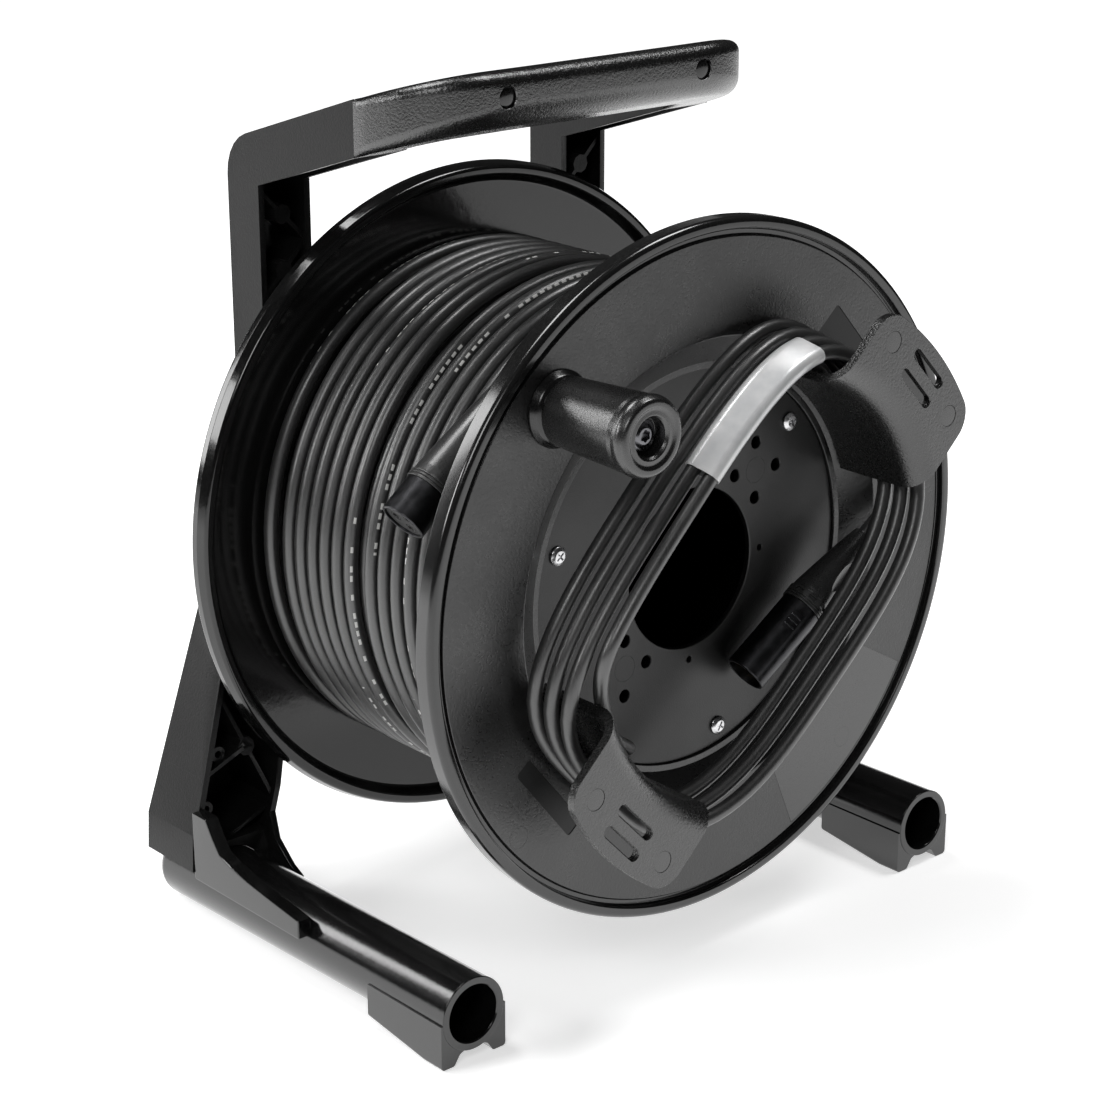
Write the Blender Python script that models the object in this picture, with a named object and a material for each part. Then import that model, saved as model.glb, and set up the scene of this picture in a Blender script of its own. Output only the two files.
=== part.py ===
"""Stage cable reel with a carrying frame, a winding drum and a stowed cable tail.

Lengths are written in millimetres and become metres when a mesh is stored.
X points right, Y points from the crank side to the rear, Z points up, the floor is Z = 0.
The drum turns about a line along Y. Its front is the side with the crank knob.
"""
import math

import bmesh
import bpy
import numpy as np
from mathutils import Matrix, Vector

MM = 0.001

# Clearances
GAP = 0.3
RUN_FIT = 0.1
KNOB_FIT = 0.08

# Drum
FLANGE_R = 155.0
FLOOR_CLEAR = 23.3
DRUM_W = 163.3
WALL = 3.0
BARREL_R = 98.0
RECESS_RIM_R = 104.5
RECESS_R = 91.5
RECESS_DEPTH = 11.0
RECESS_STEP = 1.5
SPIGOT_L = 7.0
LIP_H = 7.0
LEDGE_IN_R = 76.0
HUB_HOLE_R = 36.0
HOLE_GROUP_R = 53.0
HOLE_CROSS = 12.6
HOLE_R = 2.75
SMALL_HOLE_PLACE_R = 42.2
SMALL_HOLE_R = 1.5
SCREW_PLACE_R = 80.3
SCREW_R = 2.2
HUB_R = 22.0
AXLE_R = 10.0
BUSH_WALL = 4.0
BUSH_LEN = 16.0
SLEEVE_LEN = 64.0
HUB_REAR = 4.2
BOSS_R = 24.0
BOSS_FRONT = 8.7
WASHER_R = 19.0
WASHER_T = 2.2
NUT_FLATS = 28.0
NUT_H = 8.0
REAR_DISC = 3.8

# Crank knob
KNOB_L = 55.0
KNOB_R = 16.4
KNOB_BASE_L = 5.5
KNOB_MOUTH_R = 7.9
KNOB_MOUTH_DEPTH = 7.5
KNOB_INSET = 30.2
KNOB_ANGLE = 133.5
SPINDLE_R = 5.0

# Frame
REAR_STACK = 50.7
UPRIGHT_IN = 74.0
UPRIGHT_OUT = 101.7
UPRIGHT_DEPTH = 22.9
FRAME_BACK = 38.6
LEG_BOTTOM = 28.3
LEG_FLOOR = 38.0
LEG_FRONT = 13.5
ARM_RISE = 0.3168
ARM_H = 24.3
ARM_L = 92.4
GRIP_REACH = 136.9
GRIP_W = 34.5
GRIP_CORNER = 42.0
PLUG_X = 55.7
BEAM_H = 60.0
BEAM_TOP = 29.7
KNEE_OUT = 35.0
KNEE_IN = 26.7
WAIST = 20.3
TOE_TOP = 56.0

# Feet
FOOT_X = 139.8
FOOT_R = 16.9
FOOT_FRONT_R = 16.3
FOOT_BORE = 12.6
FOOT_LEN = 210.9
FOOT_FRONT_Z = 21.0
FOOT_BACK = 39.2
BLOCK_L = 49.9
BLOCK_HALF = 17.2

# Cable and its winding
CABLE_D = 6.5
TURN_GAP = 2.3
WIND_MARGIN = 19.4
CORE_R = 114.4
LOOP_POINTS = 24
WIND_START = -60.0

# Cable guards and the stowed tail
GUARD_ANGLE = 43.6
GUARD_HALF = 40.0
GUARD_R = 92.0
GUARD_WALL = 4.0
GUARD_TOP = 42.0
GUARD_REACH = 130.5
GUARD_BEND = 12.0

TAIL_A = 107.0
TAIL_LEFT = 69.6
TAIL_RIGHT = 63.0
TAIL_POWER = 3.2
TAIL_RISE = 17.5
TAIL_MID = 1.75
TAIL_START = -0.05
TAIL_STATIONS = 82

# Connectors
XLR_R = 10.0
FEMALE_LEN = 77.0
MALE_LEN = 85.0
FEMALE_BODY = 17.0
MALE_BODY = 40.0
MALE_FLOOR = 17.0
BOOT_TIP = 4.5
PLUG_ANGLE = 129.7

# Facets round the drum, round the axle and round small turned pieces
DRUM_STEPS = 48
AXLE_STEPS = 32

# Places that follow from the sizes above
AXIS_Z = FLANGE_R + FLOOR_CLEAR
DEPTH = KNOB_L + DRUM_W + REAR_STACK
Y_KNOB = -DEPTH / 2.0
Y_FACE = Y_KNOB + KNOB_L
Y_BACK = Y_FACE + DRUM_W
Y_DISC = Y_BACK - REAR_DISC
Y_AXLE = Y_BACK + REAR_STACK
Y_FLOOR = Y_FACE + RECESS_DEPTH
Y_LEDGE = Y_FLOOR + WALL + GAP
Y_FRAME = Y_BACK + FRAME_BACK
Y_CHANNEL = Y_FRAME - UPRIGHT_DEPTH
Y_GUARD = Y_FACE - GUARD_TOP
Y_ARM_END = Y_FRAME - ARM_L
Y_GRIP = Y_FRAME - GRIP_REACH
ARM_ROOT_Z = AXIS_Z + FLANGE_R
PITCH = CABLE_D + TURN_GAP
TURNS = int((DRUM_W - WIND_MARGIN) / PITCH)
WIND_R = (CORE_R + CABLE_D / 2.0 + 0.35) / math.cos(math.pi / LOOP_POINTS)
WIND_END_R = WIND_R + CABLE_D + 3.1
PLUG_Y = Y_FACE + 28.5
TAIL_Y = Y_FACE - TAIL_RISE
TAIL_STEP = (CABLE_D * 0.585, CABLE_D + 0.8)
TAIL_END = TAIL_START + TAIL_STATIONS / LOOP_POINTS
MALE_FRONT = (23.0, -52.7, Y_FACE - 0.1)
MALE_TIP = (90.5, -0.5, Y_FACE - 6.8)

BLACK = ((0.014, 0.014, 0.015), 0.5, 0.0)
GLOSS = ((0.010, 0.010, 0.011), 0.25, 0.0)
JACKET = ((0.020, 0.020, 0.021), 0.55, 0.0)
STEEL = ((0.62, 0.62, 0.64), 0.3, 1.0)
BRONZE = ((0.45, 0.33, 0.16), 0.4, 1.0)
LABEL = ((0.78, 0.79, 0.80), 0.45, 0.0)
SHELL = ((0.030, 0.030, 0.032), 0.35, 0.8)


# Outlines

def arc(centre, radius, start, end, steps):
    points = []
    for i in range(steps + 1):
        angle = math.radians(start + (end - start) * i / steps)
        points.append((centre[0] + radius * math.cos(angle), centre[1] + radius * math.sin(angle)))
    return points


def filleted(corners, steps=5):
    """A closed outline from (a, b, radius) corners, each radius as an arc."""
    outline = []
    count = len(corners)
    for i, (a, b, radius) in enumerate(corners):
        here = Vector((a, b))
        if radius <= 0.0:
            outline.append((a, b))
            continue
        before = Vector(corners[i - 1][:2])
        after = Vector(corners[(i + 1) % count][:2])
        into = (before - here).normalized()
        out = (after - here).normalized()
        half = into.angle(out) / 2.0
        reach = radius / math.tan(half)
        middle = here + (into + out).normalized() * radius / math.sin(half)
        first = here + into * reach - middle
        last = here + out * reach - middle
        turn = first.angle_signed(last)
        for k in range(steps + 1):
            spoke = first.copy()
            spoke.rotate(Matrix.Rotation(-turn * k / steps, 2))
            outline.append(tuple(middle + spoke))
    return outline


def offset_path(points, distance):
    """An open path moved sideways, to the left of its direction, with mitred corners."""
    moved = []
    for i, point in enumerate(points):
        here = Vector(point)
        normals = []
        if i > 0:
            step = (here - Vector(points[i - 1])).normalized()
            normals.append(Vector((-step.y, step.x)))
        if i < len(points) - 1:
            step = (Vector(points[i + 1]) - here).normalized()
            normals.append(Vector((-step.y, step.x)))
        mean = sum(normals, Vector((0.0, 0.0))).normalized()
        moved.append(tuple(here + mean * distance / mean.dot(normals[0])))
    return moved


# Solids

def prism(outline, axis, low, high):
    """An outline pushed along an axis: (x, z) along Y, (y, z) along X."""
    bm = bmesh.new()
    loop = []
    for a, b in outline:
        loop.append(bm.verts.new((a, low, b) if axis == "Y" else (low, a, b)))
    face = bm.faces.new(loop)
    top = bmesh.ops.extrude_face_region(bm, geom=[face])
    verts = [v for v in top["geom"] if isinstance(v, bmesh.types.BMVert)]
    move = (0.0, high - low, 0.0) if axis == "Y" else (high - low, 0.0, 0.0)
    bmesh.ops.translate(bm, verts=verts, vec=move)
    return bm


def turned(profile, steps):
    """A closed (radius, along) outline turned about the Y axis."""
    bm = bmesh.new()
    verts = [bm.verts.new((radius, along, 0.0)) for radius, along in profile]
    edges = []
    for i, vert in enumerate(verts):
        other = verts[(i + 1) % len(verts)]
        if vert.co.x > 0.0 or other.co.x > 0.0:
            edges.append(bm.edges.new((vert, other)))
    bmesh.ops.spin(bm, geom=verts + edges, cent=(0, 0, 0), axis=(0, 1, 0),
                   dvec=(0, 0, 0), angle=math.tau, steps=steps, use_merge=True)
    bmesh.ops.remove_doubles(bm, verts=bm.verts, dist=0.0005)
    return bm


def rod(radius, low, high, steps=24):
    return turned([(0.0, low), (radius, low), (radius, high), (0.0, high)], steps)


def ring(inner, outer, low, high, steps):
    return turned([(inner, low), (outer, low), (outer, high), (inner, high)], steps)


def hexagon(across, low, high):
    corner = across / math.sqrt(3.0)
    return prism([(corner * math.cos(k * math.pi / 3), corner * math.sin(k * math.pi / 3))
                  for k in range(6)], "Y", low, high)


def loft(sections):
    """Closed sections of equally many points, skinned and capped."""
    bm = bmesh.new()
    rings = [[bm.verts.new(point) for point in section] for section in sections]
    count = len(rings[0])
    for near, far in zip(rings, rings[1:]):
        for i in range(count):
            j = (i + 1) % count
            bm.faces.new((near[i], near[j], far[j], far[i]))
    bm.faces.new(rings[0])
    bm.faces.new(rings[-1])
    return bm


def moved(bm, x=0.0, y=0.0, z=0.0):
    bmesh.ops.translate(bm, verts=bm.verts, vec=(x, y, z))
    return bm


def on_drum(bm):
    return moved(bm, z=AXIS_Z)


def aimed(bm, origin, direction, side):
    """Local +Y turned to a direction and local +X to a side square to it."""
    along = Vector(direction).normalized()
    across = (Vector(side) - along * along.dot(Vector(side))).normalized()
    up = across.cross(along)
    frame = Matrix((across, along, up)).transposed().to_4x4()
    bmesh.ops.transform(bm, matrix=Matrix.Translation(origin) @ frame, verts=bm.verts)
    return bm


# Objects

def empty(name, place, parent=None):
    holder = bpy.data.objects.new(name, None)
    bpy.context.collection.objects.link(holder)
    start = Vector((0.0, 0.0, 0.0))
    if parent:
        holder.parent = parent
        start = Vector(parent["place"])
    holder["place"] = place
    holder.location = (Vector(place) - start) * MM
    return holder


def finish_of(name, look):
    colour, roughness, metallic = look
    material = bpy.data.materials.new(name)
    material.use_nodes = True
    shader = material.node_tree.nodes["Principled BSDF"]
    shader.inputs["Base Color"].default_value = (*colour, 1.0)
    shader.inputs["Roughness"].default_value = roughness
    shader.inputs["Metallic"].default_value = metallic
    return material


def stored(name, bm, holder):
    """The mesh of a bmesh as an object whose origin is its holder's."""
    bmesh.ops.recalc_face_normals(bm, faces=bm.faces)
    start = Vector(holder["place"]) if holder else Vector((0.0, 0.0, 0.0))
    bmesh.ops.translate(bm, verts=bm.verts, vec=-start)
    bmesh.ops.scale(bm, verts=bm.verts, vec=(MM, MM, MM))
    mesh = bpy.data.meshes.new(name)
    bm.to_mesh(mesh)
    bm.free()
    mesh.shade_smooth()
    mesh.set_sharp_from_angle(angle=math.radians(35.0))
    obj = bpy.data.objects.new(name, mesh)
    bpy.context.collection.objects.link(obj)
    obj.parent = holder
    return obj


def piece(name, bm, look, holder):
    obj = stored(name, bm, holder)
    obj.data.materials.append(finish_of(name, look))
    return obj


def tool(name, bm):
    obj = stored(name, bm, None)
    obj.hide_render = True
    obj.display_type = "WIRE"
    return obj


def combine(obj, bm, operation="DIFFERENCE", name="cut"):
    other = tool(f"{obj.name}_{name}_{len(obj.modifiers)}", bm)
    modifier = obj.modifiers.new(other.name, "BOOLEAN")
    modifier.operation = operation
    modifier.object = other
    return other


def tube(name, points, look, holder):
    """A round cable along a path of points, with closed ends."""
    start = Vector(holder["place"])
    curve = bpy.data.curves.new(name, "CURVE")
    curve.dimensions = "3D"
    curve.bevel_depth = CABLE_D / 2.0 * MM
    curve.bevel_resolution = 1
    curve.use_fill_caps = True
    spline = curve.splines.new("POLY")
    spline.points.add(len(points) - 1)
    for slot, point in zip(spline.points, points):
        slot.co = (*((Vector(point) - start) * MM), 1.0)
    curve.materials.append(finish_of(name, look))
    obj = bpy.data.objects.new(name, curve)
    bpy.context.collection.objects.link(obj)
    obj.parent = holder
    return obj


def least_gap(name, points, diameter):
    """The least gap of a tube to itself, beyond three diameters along it."""
    path = np.array([tuple(p) for p in points])
    run = np.concatenate(([0.0], np.cumsum(np.linalg.norm(np.diff(path, axis=0), axis=1))))
    apart = np.linalg.norm(path[:, None] - path[None], axis=2)
    apart[np.abs(run[:, None] - run[None]) < 3.0 * diameter] = np.inf
    print(f"{name}: least gap to itself {apart.min() - diameter:.2f} mm")


# Frame

def leg_edges():
    """Outer and inner edge of an upright and its leg, from the top down, as (x, z)."""
    knee_out = AXIS_Z + KNEE_OUT
    knee_in = AXIS_Z + KNEE_IN
    outer = [(UPRIGHT_OUT, AXIS_Z + 260.0), (UPRIGHT_OUT, knee_out),
             (FOOT_X + 20.2, 46.0), (FOOT_X + 21.2, LEG_BOTTOM)]
    inner = [(UPRIGHT_IN, AXIS_Z + 260.0), (UPRIGHT_IN, knee_in),
             (FOOT_X - 30.8, 63.3), (FOOT_X - 25.8, 45.3), (FOOT_X - 22.8, 35.3),
             (FOOT_X - 19.3, LEG_BOTTOM)]
    return outer, inner


def edge_at(edge, z):
    """Where an edge of the leg is at a height."""
    for (x0, z0), (x1, z1) in zip(edge, edge[1:]):
        if z >= z1:
            return x1 + (x0 - x1) * (z - z1) / (z0 - z1)
    return edge[-1][0]


def arm_under(y):
    return ARM_ROOT_Z + ARM_RISE * (Y_CHANNEL - y)


def arm_top(y):
    return arm_under(y) + ARM_H


def side_profile(wall=0.0):
    """Side view of an upright with its arm and leg, as (y, z)."""
    rear = Y_FRAME - wall
    corner_z = arm_top(rear) - wall * 1.05
    corner = [(rear, corner_z, 21.0 - wall), (Y_ARM_END + wall, arm_top(Y_ARM_END + wall) - wall * 1.05, 0.0)]
    if wall:
        rest = [(Y_ARM_END + wall, LEG_FLOOR, 0.0), (rear, LEG_FLOOR, 0.0)]
    else:
        rest = [(Y_ARM_END, arm_under(Y_ARM_END), 0.0), (Y_CHANNEL, arm_under(Y_CHANNEL), 0.0),
                (Y_CHANNEL, AXIS_Z - WAIST, 0.0), (Y_CHANNEL - LEG_FRONT, TOE_TOP, 0.0),
                (Y_CHANNEL - LEG_FRONT, LEG_BOTTOM, 0.0), (rear, LEG_BOTTOM, 0.0)]
    return filleted(corner + rest)


def rib_strip(points, half, disc):
    """A zigzag rib as a closed outline with a round boss in the middle of each run."""
    sides = []
    for sign in (1.0, -1.0):
        edge = offset_path(points, half * sign)
        side = [edge[0]]
        for i in range(len(points) - 1):
            start, end = Vector(points[i]), Vector(points[i + 1])
            middle = (start + end) / 2.0
            along = (end - start).normalized()
            base = math.degrees(math.atan2(along.y, along.x))
            dip = math.degrees(math.asin(half / disc))
            side += arc(middle, disc, base + (180.0 - dip) * sign, base + dip * sign, 4)
            side.append(edge[i + 1])
        sides.append(side)
    return sides[0] + sides[1][::-1]


def mirrored(outline, side):
    return [(a * side, b) for a, b in outline]


def foot_axis():
    slope = (FOOT_FRONT_Z - FOOT_R) / (FOOT_LEN - 6.0)
    start = (0.0, Y_BACK + FOOT_BACK - FOOT_LEN, FOOT_FRONT_Z)
    return start, (0.0, 1.0, -slope)


def foot_rod(radius, low, high, side, steps=24):
    start, direction = foot_axis()
    return aimed(rod(radius, low, high, steps), (FOOT_X * side, start[1], start[2]), direction, (1, 0, 0))


def frame_side(name, side, holder):
    """One C-shaped upright with its leg and arm, ribbed inside, standing on a foot tube."""
    outer, inner = leg_edges()
    body = piece(name, prism(mirrored(outer + inner[::-1], side), "Y", Y_ARM_END - 5.0, Y_FRAME + 5.0),
                 BLACK, holder)
    combine(body, prism(side_profile(), "X", -200.0, 200.0), "INTERSECT", "profile")
    pocket_out = offset_path(outer, -WALL)
    pocket_in = offset_path(inner, WALL)
    pocket = tool(name + "_pocket", prism(mirrored(pocket_out + pocket_in[::-1], side), "Y",
                                          Y_ARM_END - 20.0, Y_FRAME + 5.0))
    combine(pocket, prism(side_profile(WALL), "X", -210.0, 210.0), "INTERSECT", "inside")
    cut = body.modifiers.new("pocket", "BOOLEAN")
    cut.object = pocket
    top = ARM_ROOT_Z - 2.3
    zigzag = []
    for i, z in enumerate((top, top - 25.0, top - 50.0, top - 78.0, top - 106.0, AXIS_Z + 6.0,
                           AXIS_Z - 26.0, AXIS_Z - 50.0, 107.0, 51.0)):
        if i % 2 == 0:
            zigzag.append((edge_at(outer, z) - WALL / 2.0, z))
        else:
            zigzag.append((edge_at(inner, z) + WALL / 2.0, z))
    ribs = tool(name + "_ribs", prism(mirrored(rib_strip(zigzag, 1.0, 4.5), side), "Y",
                                      Y_CHANNEL - 20.0, Y_FRAME - 2.0))
    recess = 2.0
    combine(ribs, prism([(Y_FRAME - 2.0, LEG_FLOOR), (Y_FRAME - 2.0, ARM_ROOT_Z + 10.0),
                         (Y_CHANNEL + recess, ARM_ROOT_Z + 10.0), (Y_CHANNEL + recess, AXIS_Z - WAIST),
                         (Y_CHANNEL - LEG_FRONT + recess, TOE_TOP), (Y_CHANNEL - LEG_FRONT + recess, LEG_FLOOR)],
                        "X", -220.0, 220.0), "INTERSECT", "depth")
    join = body.modifiers.new("ribs", "BOOLEAN")
    join.operation = "UNION"
    join.object = ribs
    leg_front = Y_CHANNEL - LEG_FRONT + 4.0
    for start, end in (((FOOT_X + 11.4, 69.5), (FOOT_X - 12.0, 79.0)),
                       ((FOOT_X - 25.6, 47.2), (FOOT_X + 1.5, 36.5))):
        bar = offset_path([start, end], 1.0) + offset_path([start, end], -1.0)[::-1]
        combine(body, prism(mirrored(bar, side), "Y", leg_front, Y_FRAME - 2.0), "UNION", "bar")
    bosses = ((FOOT_X + 0.4, 78.5), (FOOT_X + 8.2, 53.5))
    for x, z in bosses:
        boss = rod(3.7, Y_CHANNEL - 7.0, Y_FRAME - 1.5, 16)
        combine(body, moved(boss, x * side, 0.0, z), "UNION", "boss")
    for x, z in bosses:
        combine(body, moved(rod(1.8, Y_CHANNEL - 9.0, Y_FRAME - 6.0, 12), x * side, 0.0, z))
    combine(body, foot_rod(FOOT_R + GAP, -10.0, FOOT_LEN + 10.0, side), "DIFFERENCE", "saddle")
    return body


def axle_beam(holder):
    """The cross member behind the drum, with the boss that grips the axle."""
    high = AXIS_Z + BEAM_TOP
    low = high - BEAM_H
    inner = leg_edges()[1]
    knee, foot = Vector(inner[1]), Vector(inner[2])
    gap = GAP * math.hypot(1.0, (foot.x - knee.x) / (knee.y - foot.y))

    def edge_x(z):
        return edge_at(inner, z) - gap

    half = [(edge_x(low), low), (edge_x(knee.y), knee.y), (edge_x(high), high)]
    outline = half + [(-x, z) for x, z in half[::-1]]
    beam = piece("axle_beam", prism(outline, "Y", Y_CHANNEL, Y_FRAME), BLACK, holder)
    inset = [(edge_x(low) - 4.0, low + WALL), (edge_x(knee.y) - 4.0, knee.y),
             (edge_x(high) - 4.0, high - WALL)]
    combine(beam, prism(inset + [(-x, z) for x, z in inset[::-1]], "Y", Y_CHANNEL - 5.0, Y_FRAME - WALL))
    for side in (1.0, -1.0):
        for rise in (1.0, -1.0):
            bar = offset_path([(12.0 * side, AXIS_Z), (60.0 * side, AXIS_Z + 24.0 * rise)], 1.2)
            bar += offset_path([(12.0 * side, AXIS_Z), (60.0 * side, AXIS_Z + 24.0 * rise)], -1.2)[::-1]
            combine(beam, prism(bar, "Y", Y_CHANNEL + 1.5, Y_FRAME - 2.0), "UNION", "rib")
    combine(beam, on_drum(rod(BOSS_R, Y_BACK + BOSS_FRONT, Y_FRAME - 1.0, AXLE_STEPS)), "UNION", "boss")
    combine(beam, on_drum(rod(AXLE_R + GAP, Y_BACK, Y_FRAME + 10.0, AXLE_STEPS)), "DIFFERENCE", "bore")
    return beam


def grip_sections():
    """Rounded sections along the U of the grip, from the right arm round to the left one."""
    start = Y_ARM_END - GAP
    bend_x = UPRIGHT_OUT - GRIP_CORNER
    inner_r = 9.0
    inner_x = UPRIGHT_IN - inner_r
    stations = [((UPRIGHT_OUT, start), (UPRIGHT_IN, start), 1.5)]
    steps = 6
    for i in range(steps + 1):
        angle = math.radians(90.0 * i / steps)
        outside = (bend_x + GRIP_CORNER * math.cos(angle), Y_GRIP + GRIP_CORNER * (1.0 - math.sin(angle)))
        inside = (inner_x + inner_r * math.cos(angle), Y_GRIP + GRIP_W + inner_r * (1.0 - math.sin(angle)))
        stations.append((outside, inside, 4.0 + 5.0 * i / steps))
    stations.append(((20.0, Y_GRIP), (20.0, Y_GRIP + GRIP_W), 9.5))
    stations += [((-a[0], a[1]), (-b[0], b[1]), r) for a, b, r in stations[::-1]]
    sections = []
    for outside, inside, radius in stations:
        o, i = Vector(outside), Vector(inside)
        width = (o - i).length
        shape = filleted([(0, 0, radius), (width, 0, radius), (width, ARM_H, radius), (0, ARM_H, radius)], 3)
        section = []
        for across, rise in shape:
            spot = i + (o - i) * across / width
            section.append((spot.x, spot.y, arm_under(spot.y) + rise))
        sections.append(section)
    return sections


def carry_grip(holder):
    grip = piece("carry_grip", loft(grip_sections()), BLACK, holder)
    for side, word in ((-1.0, "left"), (1.0, "right")):
        x, z = PLUG_X * side, arm_under(Y_GRIP) + ARM_H / 2.0 - 1.0
        combine(grip, moved(rod(4.5, Y_GRIP - 3.0, Y_GRIP + 2.6, 20), x, 0.0, z))
        cap = [(0.0, Y_GRIP + 1.0), (3.4, Y_GRIP + 1.0), (4.2, Y_GRIP + 1.6), (4.2, Y_GRIP + 2.3),
               (0.0, Y_GRIP + 2.3)]
        piece("grip_plug_" + word, moved(turned(cap, 20), x, 0.0, z), BLACK, holder)
    return grip


def foot(name, side, holder):
    """A foot tube with its front block, the two toes and the gussets in front of the leg."""
    start, direction = foot_axis()
    soft = 6.0
    tail = arc((FOOT_R - soft, FOOT_LEN - soft), soft, 0.0, 90.0, 4)
    body = turned([(0.0, 0.0), (FOOT_FRONT_R, 0.0)] + tail + [(0.0, FOOT_LEN)], 24)
    obj = piece(name, aimed(body, (FOOT_X * side, start[1], start[2]), direction, (1, 0, 0)), GLOSS, holder)
    front = start[1]

    def block_section(y, floor):
        toe, arch = 10.4, 6.8
        shape = [(-BLOCK_HALF, 20.0), (-BLOCK_HALF, floor), (-toe, floor), (-toe * 0.72, floor + arch * 0.66),
                 (0.0, floor + arch), (toe * 0.72, floor + arch * 0.66), (toe, floor),
                 (BLOCK_HALF, floor), (BLOCK_HALF, 20.0)]
        return [((FOOT_X + x) * side, y, z) for x, z in shape]

    flat = 12.0
    block = loft([block_section(front + 0.02, 0.0), block_section(front + flat, 0.0),
                  block_section(front + BLOCK_L, 5.0)])
    combine(obj, block, "UNION", "block")
    edge = Y_CHANNEL - LEG_FRONT - GAP
    outer = [(edge, 25.0), (edge, 58.0), (edge - 10.7, 58.0), (edge - 15.7, 50.3), (edge - 20.7, 44.3),
             (edge - 29.7, 41.3), (edge - 41.7, 38.8), (edge - 59.7, 36.3), (edge - 79.7, 33.8),
             (edge - 79.7, 25.0)]
    web = prism(outer, "X", FOOT_X + 13.2, FOOT_X + 20.4)
    bmesh.ops.scale(web, verts=web.verts, vec=(side, 1.0, 1.0))
    combine(obj, web, "UNION", "outer_web")

    def inner_section(y, lean, top, thick):
        shape = [(lean, top), (lean + thick, top), (-11.5, 25.0), (-15.0, 16.0)]
        return [((FOOT_X + x) * side, y, z) for x, z in shape]

    web = loft([inner_section(edge, -25.8, 45.3, 3.5), inner_section(edge - 7.7, -22.8, 35.3, 3.3),
                inner_section(edge - 22.7, -19.8, 28.3, 3.0), inner_section(edge - 31.7, -18.0, 26.5, 3.0)])
    combine(obj, web, "UNION", "inner_web")
    combine(obj, foot_rod(FOOT_BORE, -5.0, FOOT_LEN - 13.0, side), "DIFFERENCE", "bore")
    return obj


# Axle

def axle(holder):
    rear = Y_AXLE
    front = Y_BACK - SLEEVE_LEN - 14.5
    chamfer = 1.5
    shaft = [(0.0, front), (AXLE_R - chamfer, front), (AXLE_R, front + chamfer), (AXLE_R, rear - chamfer),
             (AXLE_R - chamfer, rear), (0.0, rear)]
    piece("axle_shaft", on_drum(turned(shaft, AXLE_STEPS)), STEEL, holder)
    washer_in = AXLE_R + GAP
    place = Y_FRAME + GAP
    piece("axle_washer_rear", on_drum(ring(washer_in, WASHER_R, place, place + WASHER_T, 32)), STEEL, holder)
    nut("axle_nut_rear", place + WASHER_T + GAP, NUT_H - 1.0, holder)
    hub_rear = Y_BACK + HUB_REAR
    piece("thrust_washer_rear", on_drum(ring(washer_in, WASHER_R - 1.0, hub_rear + GAP, Y_BACK + BOSS_FRONT - GAP, 32)),
          STEEL, holder)
    hub_front = Y_BACK - SLEEVE_LEN
    place = hub_front - GAP - WASHER_T
    piece("thrust_washer_front", on_drum(ring(washer_in, WASHER_R - 1.0, place, place + WASHER_T, 32)),
          STEEL, holder)
    nut("axle_nut_front", place - GAP - NUT_H, NUT_H, holder)


def nut(name, low, height, holder):
    obj = piece(name, on_drum(hexagon(NUT_FLATS, low, low + height)), STEEL, holder)
    combine(obj, on_drum(rod(AXLE_R + GAP, low - 5.0, low + height + 5.0, AXLE_STEPS)), "DIFFERENCE", "bore")
    return obj


# Drum

def recess_back(radius):
    """How far along Y the back of the recess wall lies at a radius."""
    run, drop = RECESS_RIM_R - RECESS_R, RECESS_DEPTH - RECESS_STEP
    length = math.hypot(run, drop)
    r0, y0 = RECESS_RIM_R + WALL * drop / length, Y_FACE + WALL * run / length
    return y0 + (r0 - radius) * drop / run


def front_flange(holder):
    back = Y_FACE + WALL
    wall_top = Y_FLOOR - RECESS_STEP
    barrel_in = BARREL_R - WALL
    spigot_out = barrel_in - GAP
    rim = FLANGE_R
    run = RECESS_RIM_R - RECESS_R
    drop = wall_top - Y_FACE
    back_r = RECESS_RIM_R + (WALL * run / math.hypot(run, drop) - WALL) * run / drop
    back_r += WALL * drop / math.hypot(run, drop)
    profile = [(rim - 8.5, Y_FACE), (rim - 7.8, Y_FACE + 1.5), (rim - 5.8, Y_FACE + 1.5),
               (rim - 5.2, Y_FACE - 1.2), (rim - 2.6, Y_FACE - 2.0), (rim - 0.6, Y_FACE - 0.8),
               (rim, Y_FACE + 1.2), (rim, Y_FACE + LIP_H),
               (rim - WALL, Y_FACE + LIP_H), (rim - WALL - 0.6, back + 1.6), (rim - WALL - 2.4, back + 1.6),
               (rim - WALL - 6.0, back), (back_r, back), (spigot_out, recess_back(spigot_out)),
               (spigot_out, Y_LEDGE + SPIGOT_L), (spigot_out - WALL, Y_LEDGE + SPIGOT_L),
               (spigot_out - WALL, Y_LEDGE + WALL), (LEDGE_IN_R, Y_LEDGE + WALL), (LEDGE_IN_R, Y_LEDGE),
               (RECESS_R - WALL, Y_LEDGE), (RECESS_R - WALL, wall_top), (RECESS_R, wall_top),
               (RECESS_RIM_R, Y_FACE)]
    flange = piece("front_flange", on_drum(turned(profile, DRUM_STEPS)), BLACK, holder)
    x, z = knob_place()
    hole = moved(rod(SPINDLE_R + GAP, Y_FACE - 5.0, Y_FACE + 9.0), x, 0.0, z)
    combine(flange, hole, "DIFFERENCE", "spindle")
    for x, z in screw_places():
        combine(flange, moved(rod(SCREW_R, Y_LEDGE - 4.0, Y_LEDGE + 8.0, 12), x, 0.0, z), "DIFFERENCE", "screw")
    return flange


def polar(radius, degrees):
    angle = math.radians(degrees)
    return radius * math.cos(angle), AXIS_Z + radius * math.sin(angle)


def knob_place():
    return polar(FLANGE_R - KNOB_INSET, KNOB_ANGLE)


def screw_places():
    return [polar(SCREW_PLACE_R, degrees) for degrees in (43.0, 163.0, 283.0)]


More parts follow.
